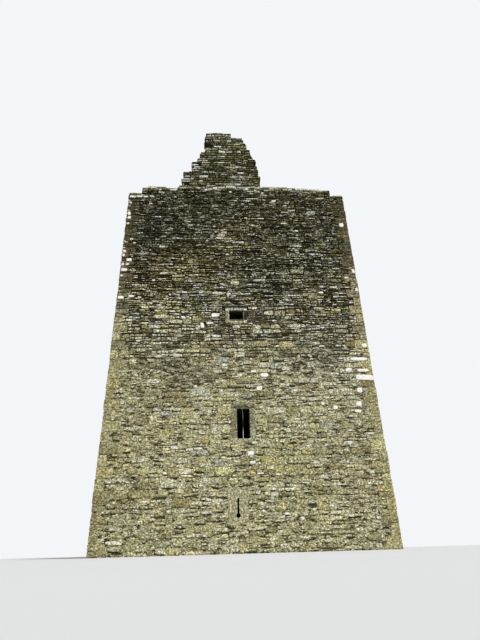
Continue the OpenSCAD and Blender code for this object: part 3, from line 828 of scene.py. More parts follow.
def randomStains(seed, span):
    # stains of a face that the front's don't fit
    rng = random.Random(seed)
    stains = []
    for _ in range(stainSet["count"]):
        gain, warm = rng.choice(stainSet["gains"]), rng.uniform(*stainSet["warm"])
        u, z = rng.uniform(-span, span), rng.uniform(0.5, stainSet["high"])
        wide, high = rng.uniform(0.4, 1.8), rng.uniform(0.25, 1.2)
        stains.append((u, z, wide, high, (gain * (1 + warm * 0.5), gain, gain * (1 - warm))))
    return stains


def bell(values, middle, reach):
    # 1 at the middle, falling off smoothly to both sides
    return np.exp(-((values - middle) / reach) ** 2)


def wallTone(u, z, seed, stains):
    # the wall's own colour at a place, before single stones differ from it
    heights, means = zip(*towerTones["rise"])
    shift, broad, fine = towerTones["clouds"]
    level = np.interp(z + shift * wander(u, z, seed, 2.2), heights, means)
    level = level * (1 + broad * wander(u, z, seed + 5, 1.1) + fine * wander(u, z, seed + 6, 0.45))
    tone = level[:, None] * np.array(towerTones["hue"])
    tone[:, 2] *= 1 + (towerTones["greyest"] / towerTones["hue"][2] - 1) * bell(z, *towerTones["greyAt"])
    ochre = wander(u, z, seed + 9, 0.8)
    tone[:, 0] *= 1 + towerTones["ochre"][0] * ochre
    tone[:, 2] *= 1 - towerTones["ochre"][1] * ochre
    tone[:, 1] *= 1 + towerTones["green"] * wander(u, z, seed + 11, 0.6)
    for x, height, wide, high, gain in stains:
        reach = ((u - x) / wide) ** 2 + ((z - height) / high) ** 2
        reach = reach * (1 + 0.5 * wander(u, z, seed + 13, 0.3))
        tone *= 1 + (np.array(gain) - 1) * np.exp(-reach)[:, None]
    return tone


def stoneTones(u, z, high, seed, scale=1.0, whiter=0.0, stains=()):
    # high says how much of the upper wall's character the stones have
    rng = np.random.default_rng(seed)
    n = len(u)
    high = np.broadcast_to(high, n)
    mean = wallTone(u, z, seed, stains) * np.array(scale)
    atMiddle = bell(z, *towerTones["middle"])
    spread = np.interp(high, (0, 1), towerTones["spread"]) + towerTones["middleSpread"] * atMiddle
    ratio = np.exp(rng.normal(0, 1, n) * spread - spread ** 2 / 2)
    tone = np.ones((n, 4))
    tone[:, :3] = mean * ratio[:, None] ** (1, hueByLevel["green"], hueByLevel["blue"])
    warm = rng.normal(0, towerTones["warm"], n)
    tone[:, 0] *= 1 + warm
    tone[:, 2] *= 1 - towerTones["warmBlue"] * warm
    grey = np.clip((ratio - 1.0) * towerTones["greyer"], 0, 0.6)[:, None]
    tone[:, :3] = tone[:, :3] * (1 - grey) + tone[:, :3].mean(1, keepdims=True) * grey
    share = np.interp(high, (0, 1), towerTones["pale"]) + towerTones["middlePale"] * atMiddle + whiter * 0.4
    pale = rng.random(n) < share
    tone[pale, :3] = np.array(towerTones["paleTone"]) * rng.uniform(0.6, 1.1, (pale.sum(), 1))
    tone[:, 3] = (rng.random(n) ** 3 * 0.7 + whiter + 0.4 * pale).clip(0, 1)
    tone[:, :3] = tone[:, :3].clip(towerTones["lowest"], towerTones["highest"])
    return tone


# the four faces

rubbleSet = {
    "low": {
        "bed": (0.26, 0.46), "patch": (0.22, 0.75), "layer": (0.055, 0.16), "aspect": (0.8, 3.0),
        "least": 0.085, "most": 0.42, "joint": (0.010, 0.028), "jag": 0.020, "butt": 0.5, "rank": 0,
    },
    "large": {
        "bed": (0.26, 0.46), "patch": (0.4, 1.1), "layer": (0.14, 0.26), "aspect": (1.1, 2.4),
        "least": 0.14, "most": 0.55, "joint": (0.008, 0.020), "jag": 0.022, "butt": 0.8, "rank": 0,
    },
    "high": {
        "bed": (0.24, 0.42), "patch": (0.45, 1.5), "layer": (0.045, 0.092), "aspect": (1.0, 4.0),
        "least": 0.07, "most": 0.36, "joint": (0.006, 0.020), "jag": 0.012, "butt": 0.25, "rank": 1,
    },
    "largeShare": 0.2, "largeMost": (0.42, 0.41, 0.27, 0.25),  # of large stones: share and palest colour
    "margin": 0.008, "least": 0.03, "cut": 7.6,  # joint round dressed stones, least stone, where pieces part
    "whiterEdge": 0.20, "whiterTop": 0.35,
    # seed of each face, its brightness, and how much larger its stones are
    "faces": {
        "front": (101, 1.0, 1.0), "right": (202, 0.95, 1.35), "rear": (303, 0.95, 1.3),
        "left": (404, 0.95, 1.35),
    },
}
# how stones stand out and lie: small, high up or low down, and the shares of their kinds; the under values
# are the painted shade at a stone's lower arris
layoutSet = {
    "small": 0.06, "deepOut": 0.014, "tilt": (0.42, 0.8), "bevel": (0.006, 0.016), "bevelShare": 0.05,
    "proudLow": (0.003, 0.018), "proudHigh": (0.010, 0.046),
    "underHigh": (0.15, 0.5), "underLow": (0.55, 0.95), "underDark": 0.2, "darkShare": 0.25,
    "kindSmall": {"chip": 0.65, "flag": 1}, "kindHigh": {"chip": 0.35, "flag": 0.8, "broken": 1},
    "kindLow": {"chip": 0.10, "flag": 0.32, "broken": 0.68, "cobble": 1},
}


def towerStyle(grain):
    # the face's own style for a patch at some height; grain makes its stones larger
    looks = {}
    for kind in ("low", "large", "high"):
        look = rubbleSet[kind]
        longer = {key: tuple(v * grain for v in look[key]) for key in ("layer", "patch")}
        looks[kind] = {**look, **longer, "least": look["least"] * grain, "most": look["most"] * grain}

    def style(z, rng):
        share = (z - zoneSet["changeFrom"]) / (zoneSet["changeTo"] - zoneSet["changeFrom"])
        if rng.random() < share:
            return looks["high"]
        return looks["large" if rng.random() < rubbleSet["largeShare"] else "low"]
    return style


def kindsFor(roll, shares):
    # the kind for each roll between 0 and 1; shares give where each kind ends
    return np.array(list(shares))[np.searchsorted(list(shares.values()), roll, side="right")]


def finishStones(quads, looks, seed, tones, proudLow=layoutSet["proudLow"], proudHigh=layoutSet["proudHigh"]):
    rng = np.random.default_rng(seed)
    n = len(quads)
    high = looks[:, 0] > 0.5
    low = rng.uniform(*proudLow, n)
    proud = np.where(high, rng.uniform(*proudHigh, n), low) + looks[:, 1] * layoutSet["deepOut"]
    size = (quads.max(1) - quads.min(1)).min(1)
    roll = rng.random(n)
    small, upper, lower = (kindsFor(roll, layoutSet[key]) for key in ("kindSmall", "kindHigh", "kindLow"))
    underHigh = rng.uniform(*layoutSet["underHigh"], n)
    isDark = rng.random(n) < layoutSet["darkShare"]
    underLow = np.where(isDark, layoutSet["underDark"], rng.uniform(*layoutSet["underLow"], n))
    swing, most = layoutSet["tilt"]
    return {
        "quads": quads, "kind": np.where(size < layoutSet["small"], small, np.where(high, upper, lower)),
        "shape": rng.integers(0, 1000, n), "proud": proud,
        "tilt": rng.normal(0, swing, (n, 2)).clip(-most, most),
        "bevel": rng.uniform(*layoutSet["bevel"], n) + layoutSet["bevelShare"] * size, "tone": tones,
        "under": np.where(high, underHigh, underLow),
    }


def joinStones(stones, extra):
    return {key: np.concatenate([stones[key], extra[key]]) for key in stones}


# dark slivers in the bed joints: painted shade of open joints
shadowSliverSet = {
    "share": [(0, 0.42), (4, 0.48), (6, 0.56), (8, 0.54), (10, 0.46), (15, 0.38)],  # by height
    "thick": (0.016, 0.044), "thickShare": 0.34, "leastStone": 0.045, "gap": 0.002, "inset": (0.0, 0.3),
    "tone": (0.010, 0.030), "hue": (1.12, 0.98, 0.42), "out": 0.6, "lift": 0.002, "bevel": 0.003,
    "under": 0.5,
}


def addShadowSlivers(stones, seed):
    # dark slivers in the bed joint under some stones, which are cut back over them: painted shade, standing
    # in for the shadow in an open bed joint
    rng = np.random.default_rng(seed)
    quads = stones["quads"]
    size = quads.max(1) - quads.min(1)
    share = np.interp(quads.mean(1)[:, 1], *zip(*shadowSliverSet["share"]))
    pick = (rng.random(len(quads)) < share) & (size[:, 1] > shadowSliverSet["leastStone"])
    n = int(pick.sum())
    thick = np.minimum(rng.uniform(*shadowSliverSet["thick"], n), size[pick, 1] * shadowSliverSet["thickShare"])
    low, right = quads[pick, 0], quads[pick, 1]
    reach = right - low
    low = low + reach * rng.uniform(*shadowSliverSet["inset"], (n, 1))
    right = right - reach * rng.uniform(*shadowSliverSet["inset"], (n, 1))
    up = np.stack([np.zeros(n), thick - shadowSliverSet["gap"]], -1)
    quads[pick, :2, 1] += thick[:, None]
    tone = np.zeros((n, 4))
    tone[:, :3] = rng.uniform(*shadowSliverSet["tone"], (n, 1)) * np.array(shadowSliverSet["hue"])
    return joinStones(stones, {
        "quads": np.stack([low, right, right + up, low + up], 1), "kind": np.full(n, "chip"),
        "shape": rng.integers(0, 1000, n),
        "proud": stones["proud"][pick] * shadowSliverSet["out"] + shadowSliverSet["lift"],
        "tilt": np.zeros((n, 2)), "bevel": np.full(n, shadowSliverSet["bevel"]), "tone": tone,
        "under": np.full(n, shadowSliverSet["under"]),
    })


# single stones of the front that stand out: place along the face, height, width and height of the stone
singleStones = {
    "white": [
        (-0.5, 11.2, 0.17, 0.09), (-3.5, 9.9, 0.14, 0.09), (1.65, 14.2, 0.24, 0.13),
        (0.35, 13.2, 0.13, 0.09), (2.55, 12.5, 0.18, 0.10), (-1.05, 12.7, 0.12, 0.09),
        (-1.0, 8.3, 0.33, 0.20), (-1.5, 7.85, 0.15, 0.24), (-1.2, 7.95, 0.28, 0.09),
        (3.3, 9.35, 0.22, 0.12), (0.4, 5.95, 0.22, 0.11), (0.8, 5.8, 0.32, 0.20), (0.6, 5.3, 0.25, 0.20),
        (-0.1, 5.8, 0.18, 0.08), (1.9, 5.2, 0.18, 0.10), (4.0, 6.0, 0.24, 0.15), (2.85, 4.7, 0.15, 0.13),
        (3.3, 4.55, 0.19, 0.16), (-1.2, 4.45, 0.13, 0.10), (0.35, 3.35, 0.20, 0.09), (0.2, 3.0, 0.26, 0.17),
        (0.25, 2.7, 0.20, 0.12), (0.5, 2.35, 0.24, 0.07), (-2.65, 2.4, 0.15, 0.07), (0.5, 1.4, 0.13, 0.11),
        (1.3, 1.1, 0.16, 0.08), (3.9, 12.0, 0.10, 0.10), (-4.0, 9.1, 0.16, 0.10), (-3.9, 7.2, 0.18, 0.09),
        (2.2, 10.9, 0.14, 0.07), (3.97, 5.97, 0.25, 0.16), (4.16, 4.68, 0.22, 0.20),
        (4.10, 4.41, 0.26, 0.14), (-1.43, 14.83, 0.16, 0.12), (-1.01, 14.93, 0.22, 0.13),
        (-0.31, 14.73, 0.13, 0.10), (0.45, 14.92, 0.16, 0.10), (0.82, 14.81, 0.13, 0.09),
        (1.15, 14.67, 0.16, 0.09), (-2.9, 14.80, 0.36, 0.09),
    ],
    "cornerWhite": [
        (-4.77, 13.36, 0.15, 0.22), (-4.75, 13.12, 0.18, 0.16), (-4.79, 12.81, 0.14, 0.11),
        (-4.55, 11.96, 0.18, 0.08), (-4.42, 11.76, 0.14, 0.08), (-4.80, 11.33, 0.13, 0.15),
        (-4.81, 11.12, 0.12, 0.15), (-4.57, 10.89, 0.26, 0.19), (-4.80, 10.67, 0.13, 0.14),
        (-4.62, 10.67, 0.16, 0.13), (-4.72, 10.40, 0.28, 0.18), (-4.80, 10.11, 0.14, 0.10),
        (-4.73, 9.09, 0.24, 0.17), (-4.33, 9.14, 0.24, 0.12), (-4.77, 13.99, 0.12, 0.11),
        (4.79, 10.39, 0.15, 0.19), (4.78, 9.48, 0.15, 0.18), (4.60, 12.86, 0.22, 0.26),
        (4.45, 10.06, 0.20, 0.09), (4.72, 6.97, 0.22, 0.19), (4.42, 6.41, 0.66, 0.17),
        (4.51, 5.96, 0.46, 0.14), (4.52, 5.68, 0.70, 0.26), (4.27, 5.19, 0.24, 0.22),
        (-4.70, 14.34, 0.30, 0.13), (-4.40, 14.36, 0.28, 0.11), (-4.12, 14.35, 0.24, 0.12),
        (-3.86, 14.37, 0.22, 0.08),
    ],
    "pale": [
        (-0.85, 9.3, 0.54, 0.17), (-0.75, 12.2, 0.42, 0.20), (1.8, 10.25, 0.42, 0.12),
        (1.6, 6.05, 0.32, 0.22), (0.85, 4.8, 0.22, 0.13), (0.4, 1.75, 0.20, 0.14), (0.9, 1.1, 0.50, 0.10),
        (-0.9, 1.4, 0.13, 0.18), (-1.3, 1.2, 0.38, 0.13), (-2.5, 1.55, 0.25, 0.16), (3.1, 8.6, 0.40, 0.14),
        (2.2, 7.6, 0.30, 0.16), (-2.4, 6.6, 0.36, 0.15), (3.6, 3.3, 0.42, 0.16), (2.6, 2.2, 0.34, 0.15),
    ],
    "cream": [
        (-0.2, 9.8, 0.38, 0.24), (-3.1, 8.25, 0.64, 0.22), (-0.9, 5.95, 0.36, 0.14),
        (-2.0, 2.45, 0.44, 0.22), (-3.2, 5.6, 0.46, 0.2),
    ],
    "greyGreen": [
        (3.3, 13.5, 0.46, 0.30), (-1.15, 12.15, 0.2, 0.2), (1.25, 6.15, 0.46, 0.30),
        (-0.7, 6.4, 0.46, 0.26), (0.15, 5.0, 0.32, 0.20), (-1.45, 3.05, 0.42, 0.21),
        (-0.85, 2.7, 0.40, 0.24), (2.9, 3.9, 0.5, 0.24), (-2.7, 4.4, 0.4, 0.2), (1.9, 9.0, 0.4, 0.16),
    ],
}
# those at the corners lie over the quoins
singleTones = {
    "cornerWhite": (0.97, 0.94, 0.88), "white": (0.94, 0.915, 0.83), "pale": (0.48, 0.475, 0.37),
    "cream": (0.45, 0.43, 0.28), "greyGreen": (0.30, 0.315, 0.235),
}
singleSet = {
    "jag": 0.16, "tone": (0.85, 1.1), "fadeHeights": (7, 12), "fade": (1.0, 0.75), "whiteLichen": 0.95,
    "lichen": 0.45, "proud": (0.016, 0.032), "cornerProud": (0.040, 0.048), "tilt": (0.2, 0.5),
    "bevel": 0.014, "under": 0.3,
}


def singleSpaces():
    inFace = [row for kind, rows in singleStones.items() if kind != "cornerWhite" for row in rows]
    return [(u - w / 2, u + w / 2, z - h / 2, z + h / 2) for u, z, w, h in inFace]


def addSingles(stones, seed):
    rng = np.random.default_rng(seed)
    quads, tones, proud = [], [], []
    for kind, rows in singleStones.items():
        atCorner = kind == "cornerWhite"
        for u, z, w, h in rows:
            jags = rng.uniform(0.0, singleSet["jag"], 8) * min(w, h)
            u0, u1, z0, z1 = u - w / 2, u + w / 2, z - h / 2, z + h / 2
            quads.append(jagged([(u0, z0), (u1, z0), (u1, z1), (u0, z1)], jags))
            fade = 1.0 if atCorner else np.interp(z, singleSet["fadeHeights"], singleSet["fade"])
            lichen = singleSet["whiteLichen" if kind in ("white", "cornerWhite") else "lichen"]
            tones.append([*(np.array(singleTones[kind]) * rng.uniform(*singleSet["tone"]) * fade), lichen])
            proud.append(rng.uniform(*singleSet["cornerProud" if atCorner else "proud"]))
    n = len(quads)
    swing, most = singleSet["tilt"]
    return joinStones(stones, {
        "quads": np.array(quads), "kind": rng.choice(["broken", "cobble"], n),
        "shape": rng.integers(0, 1000, n), "proud": np.array(proud),
        "tilt": rng.normal(0, swing, (n, 2)).clip(-most, most), "bevel": np.full(n, singleSet["bevel"]),
        "tone": np.array(tones), "under": np.full(n, singleSet["under"]),
    })


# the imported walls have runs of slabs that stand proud, and the stones there stand in front of those
proudSet = {
    "out": 0.030, "high": 0.085, "courses": 6, "run": 1.35, "margin": 0.04, "turn": 137, "share": 0.5,
    "shareSwing": 0.22, "shiftSwing": 0.12, "riseSwing": 0.2, "cover": (0.003, 0.016), "tilt": 0.2,
}
quoinSet = {
    "course": 0.38, "long": 0.52, "short": 0.29, "joint": 0.014, "proud": 0.016, "stand": (-0.010, 0.012),
    "bevel": 0.022, "warp": 0.008, "split": (0.25, 0.85), "splitFrom": 0.3, "splitAt": (0.35, 0.65),
    "levels": (0.45, 0.55, 0.62, 0.7, 0.8), "warm": (-0.03, 0.06), "lichen": (0.0, 0.3),
    "fade": {-1: 0.50, 1: 0.80}, "tint": {-1: (1.08, 0.97, 0.95), 1: (1.04, 1.0, 1.02)},
    "tintLow": {-1: (1.02, 1.0, 0.97), 1: (1.03, 1.0, 0.95)},
}
# slabs of the head step down towards the corners: how far each step reaches from the corner, and its height;
# thickness of a slab and of the wall, and how far in the inner caps lie
headSteps = {
    "corner": 0.56, "cornerTop": cornerTop, "shoulder": 2.15, "shoulderTop": wallTop - 0.09, "slab": 0.12,
    "wall": 1.6, "edge": 1.62, "clear": headZ - wallTop,
}
# half width, foot and top of the openings in the long sides
sideWindows = {"offset": 2.6, "spaces": [(0.42, 3.39, 4.79), (0.425, 7.94, 8.64), (0.485, 8.64, 8.715)]}
sideSpots = [(facing, side * sideWindows["offset"]) for facing in ("left", "right") for side in (-1, 1)]
endStones = [f"{kind}_window_{role}" for kind in ("hall", "upper") for role in ("lintel", "sill", "jambs")]
endStones += ["gun_loop_slab", "gun_loop_lintel"]
archStrips = 12


def proudRuns(facing):
    reach = (halfW - quoinSet["long"] if facing in endFaces else loftD) - proudSet["margin"]
    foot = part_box("front_upper_window_drip")[1].z
    rise = (headSteps["shoulderTop"] - foot) / proudSet["courses"]
    runs = int(2 * reach / proudSet["run"])
    step, high = 2 * reach / runs, proudSet["high"] / 2
    places = []
    for i in range(proudSet["courses"]):
        for k in range(runs):
            turn = math.radians((i * runs + k) * proudSet["turn"])
            long = step * (proudSet["share"] + proudSet["shareSwing"] * math.sin(turn)) / 2
            middle = -reach + step * (k + 0.5 + proudSet["shiftSwing"] * math.sin(2 * turn))
            z = foot + rise * (i + 0.5 + proudSet["riseSwing"] * math.sin(3 * turn))
            places.append((middle - long, middle + long, z - high, z + high))
    return places


def liftStones(stones, places, seed):
    rng = np.random.default_rng(seed)
    low, high = stones["quads"].min(1), stones["quads"].max(1)
    for u0, u1, z0, z1 in places:
        over = (high[:, 0] > u0) & (low[:, 0] < u1) & (high[:, 1] > z0) & (low[:, 1] < z1)
        least = proudSet["out"] + rng.uniform(*proudSet["cover"], len(over))
        stones["proud"] = np.where(over, np.maximum(stones["proud"], least), stones["proud"])
        stones["tilt"][over] *= proudSet["tilt"]


def quoinCourses():
    # foot, top and the reach of each course along the front or rear, and along the side
    step, arms = quoinSet["course"], (quoinSet["long"], quoinSet["short"])
    for course in range(math.ceil(cornerTop / step)):
        yield course * step, min((course + 1) * step, cornerTop), arms[course % 2], arms[1 - course % 2]


def nodeSpace(node, facing):
    # the part of a face that a node's stones take up, in that face's own u and z
    low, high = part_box(node)
    wide = (low.x, high.x) if facing == "front" else (-high.x, -low.x)
    return *wide, low.z, high.z


def faceSpaces(facing):
    span = faceSizes[facing][0]
    bands = [(armX if facing in endFaces else armY, z0, z1) for z0, z1, armX, armY in quoinCourses()]
    for step in ("corner", "shoulder"):
        bands.append((headSteps[step], headSteps[step + "Top"] + headSteps["clear"], headZ + 1))
    spaces = []
    for arm, z0, z1 in bands:
        spaces += [(-span - 1, -span + arm, z0, z1), (span - arm, span + 1, z0, z1)]
    if facing in endFaces:
        spaces += [nodeSpace(f"{facing}_{node}", facing) for node in endStones]
        spaces.append(nodeSpace("front_upper_window_drip", "front"))
    else:
        for middle in [place for side, place in sideSpots if side == facing]:
            spaces += [(middle - half, middle + half, z0, z1) for half, z0, z1 in sideWindows["spaces"]]
    if facing == "rear":
        u0, u1, _, foot = nodeSpace("door_jambs", "rear")
        spaces.append((u0, u1, -1, foot))
        middle, radius = (u0 + u1) / 2, (u1 - u0) / 2
        for i in range(archStrips):
            z0, z1 = foot + radius * i / archStrips, foot + radius * (i + 1) / archStrips
            half = math.sqrt(radius ** 2 - (z0 - foot) ** 2)
            spaces.append((middle - half, middle + half, z0, z1))
    m = rubbleSet["margin"]
    return [(a - m, b + m, c - m, d + m) for a, b, c, d in spaces]


def makeFace(facing):
    span, plane = faceSizes[facing]
    seed, scale, grain = rubbleSet["faces"][facing]
    isFront = facing == "front"
    stains = frontStainsAndShade if isFront else randomStains(seed + 2, span)
    spaces = faceSpaces(facing) + (singleSpaces() if isFront else [])
    area = -span, span, 0.0, headZ
    quads, looks, (u, z) = layStones(*area, towerStyle(grain), seed, spaces, rubbleSet["least"])
    # more white stones and lichen along the left edge and the top
    edge = np.clip(1 - (span - np.abs(u)) / 0.9, 0, 1) * (u < 0) * np.clip((z - 5) / 3, 0, 1)
    top = np.clip(1 - (headZ - z) / 0.3, 0, 1)
    whiter = rubbleSet["whiterEdge"] * edge + rubbleSet["whiterTop"] * top
    tones = stoneTones(u, z, looks[:, 0], seed, scale, whiter, stains)
    large = (quads.max(1) - quads.min(1)).min(1) > rubbleSet["large"]["least"] * 0.9
    tones[large] = np.minimum(tones[large], rubbleSet["largeMost"])
    stones = addShadowSlivers(finishStones(quads, looks, seed + 1, tones), seed + 3)
    if isFront:
        stones = addSingles(stones, seed + 4)
    liftStones(stones, proudRuns(facing), seed + 5)
    isLow = stones["quads"].mean(1)[:, 1] < rubbleSet["cut"]
    for name, rows in (("Low", isLow), ("High", ~isLow)):
        part = {key: value[rows] for key, value in stones.items()}
        makePiece(f"{facing}Rubble{name}", copyStones(part, facing, plane), rubbleMaterial)


for facing in faceSizes:
    makeFace(facing)
print("rubble laid on the four faces")


# quoins

def makeQuoins(name, sx, sy, seed):
    rng = random.Random(seed)
    boxes, tones, bevels = [], [], []
    joint = quoinSet["joint"] / 2
    for z0, z1, armX, armY in quoinCourses():
        share = float(np.interp(z0, (7, 10), quoinSet["split"]))
        splits = rng.random() < share and z1 - z0 > quoinSet["splitFrom"]
        cuts = [z0, z0 + (z1 - z0) * rng.uniform(*quoinSet["splitAt"]), z1] if splits else [z0, z1]
        for a, b in zip(cuts, cuts[1:]):
            stand = quoinSet["proud"] + rng.uniform(*quoinSet["stand"])
            x = sorted((sx * (halfW + stand), sx * (halfW - armX + joint)))
            y = sorted((sy * (halfD + stand), sy * (halfD - armY + joint)))
            boxes.append([x[0], y[0], a + joint, x[1], y[1], b - joint])
            z = (a + b) / 2
            fade = float(np.interp(z, (6, 10), (1.0, quoinSet["fade"][sx])))
            wall = wallTone(np.array([sx * (halfW - 0.3)]), np.array([z]), seed, [])[0]
            base = wall * rng.choice(quoinSet["levels"]) * fade
            share = min(max((z - 8) / 3, 0), 1)
            tint, tintLow = (np.array(quoinSet[key][sx]) for key in ("tint", "tintLow"))
            base = base * (tint * share + tintLow * (1 - share))
            warm = rng.uniform(*quoinSet["warm"])
            base = (base * np.array((1 + warm, 1, 1 - 1.5 * warm))).clip(0.02, 0.7)
            tones.append([*base, rng.uniform(*quoinSet["lichen"])])
            bevels.append(quoinSet["bevel"] * rng.uniform(0.7, 1.5))
    parts = copyBlocks(quoinBlocks, boxes, bevels, tones, rng, quoinSet["warp"])
    if sx < 0 and sy < 0:
        # white lichen along the outer edge of the upper courses
        for points, _, tone in parts:
            x, _, z = points.T
            edge = np.clip((-x - halfW + 0.25) / 0.2, 0, 1) * np.clip((z - 6.5) / 2, 0, 1)
            lichen = edge * (0.50 + 0.3 * wander(z * 3, z * 2, seed))
            tone[:, 3] = np.maximum(tone[:, 3], lichen)
    makePiece(name, parts, dressedMaterial)


makeQuoins("frontLeftQuoinStones", -1, -1, 51)
makeQuoins("frontRightQuoinStones", 1, -1, 52)
makeQuoins("rearLeftQuoinStones", -1, 1, 53)
makeQuoins("rearRightQuoinStones", 1, 1, 54)
print("quoins set")


# gable stumps

gableSet = {
    "middle": -0.51, "high": 4.6, "course": 0.23, "lastCourse": 19, "ragged": 0.065, "turn": 137,
    # height over the foot and width to each side of the middle
    "left": [(0, 2.05), (1.6, 2.05), (1.85, 1.55), (2.3, 1.55), (3.35, 0.95), (4.6, 0.95)],
    "right": [(0, 1.66), (1.6, 1.66), (2.6, 1.45), (3.9, 0.95), (4.6, 0.95)],
    "breakFrom": 0.31, "breakHigh": 0.30, "joint": 0.016, "butt": 0.004, "jag": 0.016, "warp": 0.006,
    "wave": 0.02, "layer": (0.115, 0.20), "reach": (-0.02, 0.075), "depth": (0.20, 0.44),
    "length": (0.25, 0.5), "last": 0.55, "out": (0.0, 0.03),
    "faceLength": (0.16, 0.46), "faceLast": 0.08, "proud": (0.015, 0.045),
    # the under values darken the lower arrises of flank slabs and face stones as painted shade
    "bevel": 0.034, "faceBevel": 0.7, "under": 0.25, "faceUnder": 0.5, "tone": (0.92, 0.93, 0.97),
    "stains": [
        (-0.36, 17.7, 0.20, 0.22, (2.0, 2.0, 1.4)), (-0.16, 16.95, 0.32, 0.18, (1.9, 1.9, 1.35)),
        (0.18, 18.87, 0.5, 0.36, (1.45, 1.45, 1.25)), (0.31, 18.46, 0.45, 0.26, (1.5, 1.5, 1.3)),
        (0.43, 17.44, 0.3, 0.15, (1.5, 1.5, 1.4)), (1.05, 16.22, 0.2, 0.3, (2.5, 2.4, 1.5)),
        (-1.1, 19.3, 0.5, 0.2, (1.8, 1.8, 1.8)), (-2.2, 15.9, 0.4, 0.2, (1.7, 1.7, 1.6)),
        (-1.57, 16.67, 0.5, 0.4, (0.7, 0.7, 0.72)), (-0.45, 16.4, 0.6, 0.5, (0.8, 0.8, 0.8)),
        (0.59, 17.85, 0.35, 0.2, (1.6, 1.6, 1.4)),
    ],
}
# broken stones on the top, with the flue left open between them
crownSet = {
    "tries": 46, "wide": (0.18, 0.4), "deep": (0.14, 0.3), "high": (0.04, 0.09), "span": (-0.95, 0.9),
    "flue": (0.21, 0.16), "sink": 0.05, "lift": (0, 0.04),
}


def flankAt(side, turn, z):
    # distance of a flank from the middle at a height over the foot, ragged from course to course
    course = min(int(z / gableSet["course"] + 1e-6), gableSet["lastCourse"])
    notch = gableSet["ragged"] * math.sin(math.radians((course + turn) * gableSet["turn"])) if course else 0
    return float(np.interp(course * gableSet["course"], *zip(*gableSet[side]))) + notch


def middlesOf(boxes):
    return (boxes[:, :3] + boxes[:, 3:]) / 2


def crownBoxes(rng, y0, y1, top):
    boxes = []
    edge = gableSet["breakFrom"]
    for _ in range(crownSet["tries"]):
        w, d, h = (rng.uniform(*crownSet[key]) for key in ("wide", "deep", "high"))
        x = rng.uniform(crownSet["span"][0], crownSet["span"][1] - w)
        if x + w > edge > x + 0.1:
            continue
        y = rng.uniform(y0, y1 - d)
        wide, deep = crownSet["flue"]
        if abs(x + w / 2) < wide + w / 2 and abs(y + d / 2 - (y0 + y1) / 2) < deep + d / 2:
            continue
        foot = top - (gableSet["breakHigh"] if x + w > edge else 0) - crownSet["sink"]
        foot += rng.uniform(*crownSet["lift"])
        boxes.append([gableSet["middle"] + x, y, foot, gableSet["middle"] + x + w, y + d, foot + h])
    return boxes


def makeGable(name, node, seed):
    # its flanks are laid as blocks, and the faces towards the front and the rear as stones between them
    rng = random.Random(seed)
    low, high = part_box(node)
    y0, y1, base, top = low.y, high.y, low.z, high.z
    middle, butt = gableSet["middle"], gableSet["butt"]
    boxes, quads = [], {"front": [], "rear": []}
    z = wallTop
    while z < top - 0.04:
        step = min(rng.uniform(*gableSet["layer"]), top + rng.uniform(0, 0.05) - z)
        over = z - base + step / 2
        left, right = -flankAt("left", 1, over), flankAt("right", 0, over)
        if over > gableSet["high"] - gableSet["breakHigh"]:
            right = gableSet["breakFrom"]
        a, b = z + gableSet["joint"], z + step - gableSet["joint"]
        inside = []
        for side, flank in ((-1, left), (1, right)):
            y = y0 - rng.uniform(*gableSet["out"])
            inner, last = [], False
            while y < y1 and not last:
                last = y1 - y < gableSet["last"]
                end = y1 + rng.uniform(*gableSet["out"]) if last else y + rng.uniform(*gableSet["length"])
                edge = flank + side * rng.uniform(*gableSet["reach"])
                inner.append(flank - side * rng.uniform(*gableSet["depth"]))
                x = sorted((middle + edge, middle + inner[-1]))
                boxes.append([x[0], y + butt, a, x[1], end - butt, b])
                y = end + 0.001
            inside.append((inner[0], inner[-1]))
        for back, facing in enumerate(quads):
            u, stop = inside[0][back] + middle, inside[1][back] + middle
            while u < stop - 0.02:
                end = min(u + rng.uniform(*gableSet["faceLength"]), stop)
                if stop - end < gableSet["faceLast"]:
                    end = stop
                jag = [rng.uniform(-gableSet["jag"], gableSet["jag"]) for _ in range(4)]
                quad = [(u + butt, a + jag[0]), (end - butt, a + jag[1])]
                quad += [(end - butt + jag[2], b), (u + butt + jag[3], b)]
                if back:
                    # seen from the rear, x runs the other way
                    quad = [(-quad[k][0], quad[k][1]) for k in (1, 0, 3, 2)]
                quads[facing].append(quad)
                u = end
        z += step
    boxes = np.array(boxes + crownBoxes(rng, y0, y1, top))
    x, _, z = middlesOf(boxes).T
    tones = stoneTones(x, z, 1, seed, gableSet["tone"], 0.0, gableSet["stains"])
    parts = copyBlocks(slabBlocks, boxes, gableSet["bevel"], tones, rng, gableSet["warp"], gableSet["under"])
    for back, facing in enumerate(quads):
        own = np.array(quads[facing])
        own[..., 1] += gableSet["wave"] * wander(own[..., 0], own[..., 1], seed, 0.35)
        u, z = own.mean(1).T
        tones = stoneTones(u, z, 1, seed + 3 + back, gableSet["tone"], 0.0, gableSet["stains"])
        looks = np.ones((len(own), 2)) * [1, 0]
        stones = finishStones(own, looks, seed + 7 + back, tones, proudHigh=gableSet["proud"])
        stones["bevel"] += gableSet["bevel"] * gableSet["faceBevel"]
        stones["under"] *= gableSet["faceUnder"]
        parts += copyStones(stones, facing, y1 if back else -y0)
    makePiece(name, parts, rubbleMaterial)


makeGable("frontGableStones", "front_gable", 61)
makeGable("rearGableStones", "rear_gable", 62)
print("gable stumps built")


# wall head

